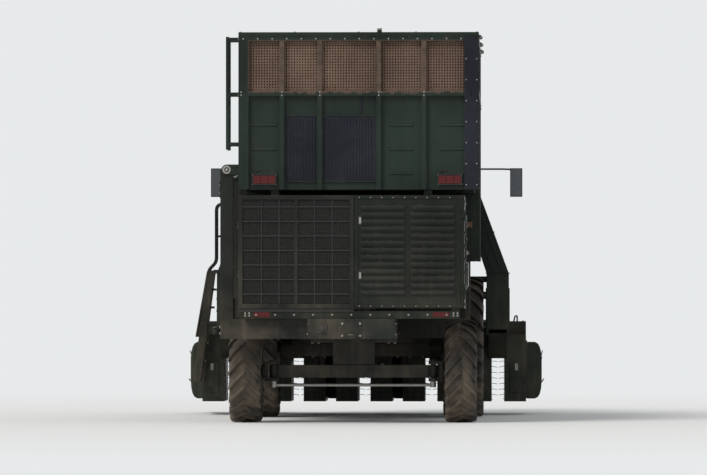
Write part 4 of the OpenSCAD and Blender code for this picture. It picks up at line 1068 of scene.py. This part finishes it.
def air_pipes():
    """Main air pipe with collars, a branch to each duct, and ribbed hoses up to the fans."""
    f = Form()
    f.rod((-1560, 1580, 1640), (1560, 1580, 1640), 84, 0, 28)
    for x in (-1560, -1150, -520, 0, 520, 1150, 1548):
        f.lathe([(84, 0), (98, 0), (98, 14), (84, 14)], (x, 1580, 1640), X, 28, 1)
    for x in DUCT_XS:
        f.pipe([(x, 1600, 1640), (x, 1680, 1610), (x, 1748, 1606)], 40, 50, 0, 14)
    for side in SIDES:
        f.at(side=side)
        f.pipe([(1540, 1580, 1640), (1600, 1586, 1612), (1656, 1600, 1600)], 40, 50, 0, 14)
        path = bent([(332, 1425, 1950), (330, 1440, 1840), (330, 1560, 1700)], 90, 8)
        f.tube(path, 64, 2, 18)
        for a, b in zip(path, path[1:]):
            count = max(1, int((b - a).length / 22))
            for k in range(count):
                f.lathe([(64, -4), (71, 0), (64, 4)], a + (b - a) * (k / count), b - a, 18, 2)
    # The air pipe takes the darker copy of the green paint as painted shade
    f.build("air_pipes", "chassis", [SHADE, ZINC, RUBBER])


def fan_parts():
    """Fan scrolls with open inlets, blades, mesh guards, pulleys and the belt's guard."""
    f = Form()
    for side in SIDES:
        f.at(0, FAN_Y, FAN_Z, side)
        f.lathe([(60, 30), (200, 30), (200, 0), (228, 0), (228, 34), (340, 34), (340, 44), (328, 46),
                 (328, 388), (340, 390), (340, 400), (60, 400)], (650, 0, 0), (-1, 0, 0), 56)
        f.prism([(130, 0), (330, 0), (338, -130), (338, -380), (172, -380), (172, -230),
                 (130, -250)], 0, 272, 598)
        f.border(2, (258, 160), (612, 350), (-395, -380), 26)
        f.bolts(circle((616, 0, 0), 0, 334, 16), X, 7, 6, 1)
        f.bolts(circle((650, 0, 0), 0, 214, 16), X, 6, 5, 1)
        for a, b in zip(circle((600, 0, 0), 0, 60, 12), circle((600, 0, 0), 0, 196, 12, 0.5)):
            f.rod(a, b, 9, 1, 6)
        f.lathe([(60, 0), (60, 60), (40, 66), (0, 66)], (590, 0, 0), X, 24, 1)
        for r in (70, 100, 130, 160, 190):
            ring = circle((646, 0, 0), 0, r, 40)
            f.tube(ring + ring[:1], 3, 3, 5)
        rim = circle((649, 0, 0), 0, 200, 20)
        for a, b in zip(rim[10:], rim):
            f.rod(a, b, 3, 3, 5)
        f.box((380, -70, -350), (600, 70, -320), 2)
        f.prism([(-65, -322), (65, -322), (45, -270), (-45, -270)], 0, 400, 580, 2)
        f.bolts([(x, y, -320) for x in (396, 584) for y in (-56, 56)], Z, 12, 10, 1)
    f.at(0, FAN_Y, FAN_Z)
    f.rod((-262, 0, 0), (262, 0, 0), 28, 1, 20)
    for x in (-180, 150):
        f.lathe([(28, 0), (56, 0), (56, 30), (28, 30)], (x, 0, 0), X, 24, 2)
    f.lathe([(28, 0), (96, 0), (104, 6), (92, 16), (104, 26), (92, 36), (104, 46), (96, 52), (28, 52)],
            (-26, 0, 0), X, 36, 1)
    for y in (-92, 82):
        f.box((-20, y, -1000), (20, y + 10, 0), 4)
    f.prism([(-100, -1020), (100, -1020), (102, 30), (70, 110), (-70, 110), (-102, 30)], 0, 38, 44,
            2)
    f.build("fan_scrolls", "chassis", [GREEN, ZINC, FRAME, STEEL, RUBBER], ["fans"],
            bevel=1.5)


def exhaust_parts():
    """Silencer with end caps, clamps and a slotted guard, and its bent open pipe."""
    f = Form()
    f.at(0, -1790, 2500)
    f.lathe([(0, 0), (40, 0), (44, 20), (78, 34), (88, 50), (88, 690), (78, 706), (44, 720), (40, 740),
             (0, 740)], (560, 0, 0), X, 36)
    for x in (640, 930, 1220):
        f.lathe([(88, 0), (94, 0), (94, 26), (88, 26)], (x, 0, 0), X, 36, 1)
        f.box((x, -10, 88), (x + 26, 10, 106), 1)
    for x in range(690, 1180, 38):
        f.box((x, -84, 96), (x + 22, 84, 104), 2)
    for y in (-84, 68):
        f.box((680, y, 88), (1200, y + 16, 104), 2)
    f.tube(bent([(1290, 0, 0), (1345, -72, 0), (1482, -72, 0)], 46, 7), 37, 0, 20)
    f.lathe([(37, 0), (40, 2), (40, 22), (33, 22), (33, 2), (0, 2)], (1460, -72, 0), X)
    f.box((700, -160, -30), (760, -60, 30), 2)
    f.build("silencer", "chassis", [HOT, ZINC, FRAME], ["exhaust"], bevel=1.5)


# Header

def dividers():
    """Rounded snouts with wear shoes, lifter rods and pivot bolts between the rows."""
    f = Form()
    for i in range(6):
        f.at((i - 2.5) * 900)
        rings = []
        for share in (0, 0.04, 0.2, 0.4, 0.6, 0.78, 0.9, 0.97, 1.0):
            half = 148 * (1 - share) ** 0.92 + 26 * share ** 0.5 * (1 if share < 0.99 else 0.4)
            top, low = 980 - 722 * share + 24 * sin(radians(180 * share)), 200 + 4 * share
            if share == 1.0:
                top, low = 240, 218
            mid, tall = (top + low) / 2, (top - low) / 2
            round_points = ((cos(a), sin(a)) for a in (tau * (k + 0.5) / 20 for k in range(20)))
            rings.append([(half * copysign(abs(c) ** 0.55, c), 3302 + 946 * share,
                           mid + tall * copysign(abs(s) ** 0.6, s)) for c, s in round_points])
        f.loft(rings)
        f.prism([(3900, 205), (4246, 222), (4246, 234), (3900, 226)], 0, -34, 34, 1)
        for s in SIDES:
            f.pipe([(s * 20, 4215, 236), (s * 72, 3960, 330), (s * 150, 3560, 430),
                    (s * 172, 3318, 470)], 120, 9, 2)
            f.rod((s * 128, 3380, 760), (s * 152, 3380, 760), 24, 2, 6)
            f.pipe([(s * 30, 4130, 290), (s * 96, 3800, 560), (s * 156, 3330, 860)], 160, 7, 2)
    f.build("divider_snouts", "header", [GREEN, STEEL, ZINC], ["stalk_lifters"],
            smooth=50)


def spindle_drums():
    """Upright drums with twelve spindle bars each, and tapered spindles all round."""
    f = Form()
    for row in ROWS:
        for x, y in ((200, 2960), (-200, 2560)):
            f.at(row + x, y)
            f.lathe([(0, 0), (126, 0), (126, 14), (70, 18), (70, 618), (126, 622), (126, 640),
                     (30, 644), (30, 680), (0, 680)], (0, 0, 200), Z)
            for k in range(12):
                c, s = cos(tau * k / 12), sin(tau * k / 12)
                f.rod((84 * c, 84 * s, 214), (84 * c, 84 * s, 822), 15, 0, 8)
                for z in range(240, 800, 46):
                    f.rod((96 * c, 96 * s, z), (128 * c, 128 * s, z), 6.5, 1, 6, 2)
    f.build("spindle_bars", "header", [CAST, BRIGHT], ["picking_drums"])


def header_trim():
    """Gear housing lids, drive shaft, latches, hoses, plant guides and outer covers."""
    f = Form()
    for row in ROWS:
        f.at(row)
        for x, y, r in ((200, 2960, 105), (-170, 2470, 85)):
            f.lathe([(r - 1, 0), (r + 8, 2), (r + 8, 16), (r - 6, 22), (r - 30, 24), (30, 26),
                     (30, 40), (0, 42)], (x, y, 1156), Z, 32)
            f.bolts(circle((x, y, 1178), 2, r - 8, 10), Z, 8, 8, 1)
        f.box((160, 2790, 1082), (240, 2862, 1150))
        f.lathe([(26, 0), (44, 0), (44, 36), (26, 36)], (90, 2820, 1118), X, 16, 1)
        f.pipe([(260, 2700, 1258), (262, 2710, 1330), (230, 2900, 1330), (205, 2950, 1196)], 60, 11,
               2)
        f.pipe([(-60, 2610, 1258), (-70, 2590, 1310), (-140, 2500, 1300), (-168, 2474, 1196)], 40,
               11, 2)
        for s in SIDES:
            f.box((s * 96 - 10, 3300, 200), (s * 96 + 10, 3312, 960), 3)
            for z in range(250, 900, 76):
                f.pipe([(s * 92, 3304, z + 10), (s * 40, 3300, z + 6), (s * 12, 3270, z)], 30, 4, 2,
                       6)
            f.box((s * 240 - 100, 3300, 420), (s * 240 + 100, 3307, 940))
            f.bolts([(s * 240 + a, 3307, z) for a in (-84, 84) for z in (440, 920)], Y, 8, 6, 1)
            f.box((s * 250 - 90, 2241, 300), (s * 250 + 90, 2250, 720))
            f.box((s * 250 - 20, 2232, 600), (s * 250 + 20, 2242, 690), 1)
    f.at()
    f.rod((-2100, 2820, 1118), (2100, 2820, 1118), 24, 1, 16)
    for y in (2640, 2668, 2696):
        f.tube([(-1900, y, 1270), (1900, y, 1270)], 9, 2)
    for x in range(-1750, 1751, 500):
        f.box((x - 14, 2625, 1259), (x + 14, 2712, 1284), 1)
    for side in SIDES:
        f.at(side=side)
        f.box((2180, 2330, 270), (2192, 3220, 1000))
        for z in (380, 560, 740, 900):
            f.box((2191, 2400, z), (2200, 3150, z + 34))
        for y in (2500, 2970):
            f.box((2191, y, 960), (2200, y + 80, 990), 1)
        for y, r, sides, xs in ((1350, 58, 24, (522, 678)), (2050, 40, 20, (554, 646))):
            for x in xs:
                f.rod((x - 5, y, 960), (x + 5, y, 960), r, 1, sides)
        f.pipe([(655, 1500, 960), (655, 2000, 1080), (655, 2560, 1215), (700, 2640, 1266)], 90, 10,
               2)
        f.bolts([(2140, y, 1260) for y in (2630, 2750)], Z, 12, 10, 1)
    f.build("header_fittings", "header", [GREEN, ZINC, RUBBER, STEEL], bevel=1.5)


# Axles, frame and cylinders

def axle_trim():
    """Final drive covers, bolts, brake lines, drive shaft and gearbox cover."""
    f = Form()
    for side in SIDES:
        f.at(side=side)
        for x, way in ((904, (-1, 0, 0)), (1056, X)):
            f.bolts(circle((x, FRONT_Y, FRONT_R), 0, 176, 16), way, 11, 10, 1)
        f.prism([(690, 1052), (910, 1052), (880, 1100), (720, 1100)], 0, 560, 800)
        f.bolts([(x, y, 798) for x in (480, 640, 820) for y in (700, 900)], DOWN, 14, 12, 1)
        f.pipe([(120, 660, 960), (620, 656, 960), (880, 656, 990), (930, 690, 1040)], 50, 8, 2)
        f.pipe([(60, -2812, 650), (700, -2812, 650), (860, -2820, 700)], 50, 8, 2)
        f.bolts([(x, y, 1001) for x in (440, 520) for y in (-2990, -2810)], DOWN, 14, 12, 1)
    f.at()
    f.lathe([(0, 0), (150, 0), (160, 20), (160, 60), (120, 90), (60, 96), (0, 96)], (0, 928, 925),
            Y, 32)
    f.bolts(circle((0, 950, 925), 1, 138, 12), Y, 10, 46, 1)
    f.rod((0, 600, 925), (0, 672, 925), 70, 1, 24)
    f.rod((0, -1900, 1180), (0, 620, 930), 34, 2, 20)
    f.lathe([(0, -40), (50, -40), (50, 50), (0, 50)], (0, 600, 932), Y, 20, 1)
    f.build("axle_fittings", "chassis", [FRAME, ZINC, RUBBER], bevel=2)


def kingpin_caps():
    """Caps over the kingpins and collars round the stub axles."""
    for hand, side in HANDS:
        f = Form()
        f.at(KINGPIN_X, REAR_Y, side=side)
        f.lathe([(58, 0), (58, 10), (30, 16), (10, 16), (10, 30), (0, 30)], (0, 0, 765), Z, 28)
        f.bolts(circle((0, 0, 773), 2, 44, 6), Z, 8, 8, 1)
        f.lathe([(46, 0), (96, 0), (96, 20), (80, 34), (46, 40)], (122, 0, 640), X, 28)
        f.build(f"knuckle_cap_{hand}", f"steering_knuckle_{hand}", [FRAME, ZINC])


def frame_trim():
    """Rail bolts and pads, valve block with hoses, hitch plate, socket and cylinder hoses."""
    f = Form()
    for side in SIDES:
        f.at(side=side)
        f.bolts([(541, y, z) for y in (-3900, -3300, -1950, -240, 20, 400, 1000)
                 for z in (1110, 1240)], X, 14, 12, 1)
        f.bolts([(110, -4054, z) for z in (1090, 1240)], BACK, 16, 12, 1)
        f.box((61, -4246, 1052), (89, -4052, 1098))
        f.at(RAIL_X * side)
        f.bolts([(x, y, 1302) for x in (-42, 42) for y in (470, 630)], Z, 12, 10, 1)
        f.box((-70, 470, 1300), (70, 630, 1312))
        f.box((-70, -380, 1300), (70, -220, 1312))
        f.box((-66, -376, 2036), (66, -224, 2049), 2)
        f.box((-70, 475, 2036), (70, 625, 2049), 2)
    f.at()
    f.box((-150, -60, 1302), (150, 160, 1430), 3)
    for x in range(-120, 180, 60):
        f.rod((x, 50, 1429), (x, 50, 1470), 18, 1, 12)
        f.pipe([(x, -58, 1370), (x, -130, 1370), (x * 1.4, -260, 1330), (x * 1.4, -900, 1330)], 60,
               11, 2)
        f.pipe([(x, 158, 1370), (x, 240, 1370), (x * 1.6, 380, 1330), (x * 1.6, 1180, 1330)], 60, 11,
               2)
    for y in (-190, -700, 500, 1000):
        f.box((-200, y, 1312), (200, y + 30, 1320), 1)
    f.lathe([(24, 0), (44, 0), (44, 8), (24, 8)], (0, -4190, 1099), Z, 28, 1)
    f.box((-420, -4062, 1120), (-300, -4051, 1230), 3)
    f.lathe([(0, 0), (34, 0), (34, 26), (26, 30), (0, 30)], (-360, -4058, 1175), BACK, 20, 3)
    for start, y in zip((-1656, -1884), TILT_YS):
        f.pipe([(-1100, start, 1420), (-1010, y, 1380), (-900, y, 1330), (-560, -1770, 1320)], 60, 11,
               2)
    f.build("frame_fittings", "chassis", [FRAME, ZINC, RUBBER, BLACK], bevel=2)


def cylinder_glands():
    """Glands, collars, ports and feed pipes of the tilt cylinders and the lift cylinders."""
    f = Form()
    way = Vector((-100, 0, 1190)).normalized()
    for y in TILT_YS:
        foot = Vector((-1100, y, 1450))
        f.lathe([(52, 0), (60, 4), (60, 44), (52, 50), (36, 50), (34, 56), (29, 56)],
                foot + way * 1014, way, 32)
        f.lathe([(52, 0), (57, 4), (57, 20), (52, 24)], foot + way * 60, way, 32)
        for at in (110, 960):
            p = foot + way * at
            f.rod(p, p + Vector((84, 0, 7)), 15, 1, 12)
        a, b = (foot + way * at + Vector((80, 0, 0)) for at in (118, 952))
        f.tube([a, a + Vector((14, 0, 10)), b + Vector((14, 0, -10)), b], 10, 2)
    f.build("tilt_glands", "basket_barrels", [FRAME, ZINC, RUBBER])

    f = Form()
    way = Vector((0, 750, 400)).normalized()
    for x in (-600, 600):
        foot = Vector((x, 1300, 560))
        f.lathe([(42, 0), (49, 4), (49, 34), (42, 38), (26, 38), (24, 44), (21, 44)],
                foot + way * 634, way, 28)
        for at in (90, 600):
            p = foot + way * at
            f.rod(p, p + Vector((0, -26, 56)), 13, 1, 12)
    f.build("lift_glands", "header_barrels", [FRAME, ZINC])


for make in (basket_screens, lid_screens, wheels, basket_trim, tail_lamps, post_trim, radiator,
             bay_doors, bay_trim, cooling_mesh, engine_parts, tanks, cab_seals, cab_top, mirrors,
             cab_door, cab_inside, seat_cushions, walkway, duct_trim, air_pipes, fan_parts,
             exhaust_parts, dividers, spindle_drums, header_trim, axle_trim, kingpin_caps,
             frame_trim, cylinder_glands, lid_trim):
    make()


# Floor, backdrop and light

def studio():
    """Pale floor that fades into the backdrop, soft sky light and a wide soft lamp."""
    backdrop = {"Color": (0.80, 0.82, 0.83, 1.0), "Strength": 1.0}
    mesh = bpy.data.meshes.new("floor")
    mesh.from_pydata([(-150, -150, 0), (150, -150, 0), (150, 300, 0), (-150, 300, 0)], [],
                     [(0, 1, 2, 3)])
    floor = bpy.data.objects.new("floor", mesh)
    bpy.context.scene.collection.objects.link(floor)
    t = Look("floor", (0.78, 0.78, 0.77), Roughness=0.9, Specular_IOR_Level=0.1)
    place = t.add("NewGeometry").outputs["Position"]
    away = t.add("VectorMath", {0: place}, operation="LENGTH").outputs["Value"]
    seen = t.times(t.add("LightPath").outputs["Is Camera Ray"], t.step(away, 9.0, 24.0))
    glow = t.add("Emission", backdrop)
    joined = t.add("MixShader", {0: seen, 1: t.shader.outputs[0], 2: glow.outputs[0]})
    t.tree.links.new(joined.outputs[0], t.tree.nodes["Material Output"].inputs["Surface"])
    mesh.materials.append(t.mat)

    world = bpy.data.worlds.new("studio")
    bpy.context.scene.world = world
    world.use_nodes = True
    t = Tree(world.node_tree)
    rays = t.add("LightPath")
    plain = t.calc("MAXIMUM", rays.outputs["Is Camera Ray"], rays.outputs["Is Transmission Ray"])
    soft = t.add("Background", {"Color": (0.95, 0.98, 1.0, 1.0), "Strength": 0.62})
    back = t.add("Background", backdrop)
    both = t.add("MixShader", {0: plain, 1: soft.outputs[0], 2: back.outputs[0]})
    t.tree.links.new(both.outputs[0], t.tree.nodes["World Output"].inputs["Surface"])

    sun = bpy.data.lights.new("soft_lamp", "SUN")
    sun.energy, sun.angle = 1.9, radians(24)
    sun.color = (1.0, 0.97, 0.93)
    lamp = bpy.data.objects.new("soft_lamp", sun)
    bpy.context.scene.collection.objects.link(lamp)
    lamp.rotation_euler = Vector((0.55, 0.75, -0.85)).to_track_quat("-Z", "Y").to_euler()


studio()
bpy.context.scene.view_settings.view_transform = "Standard"
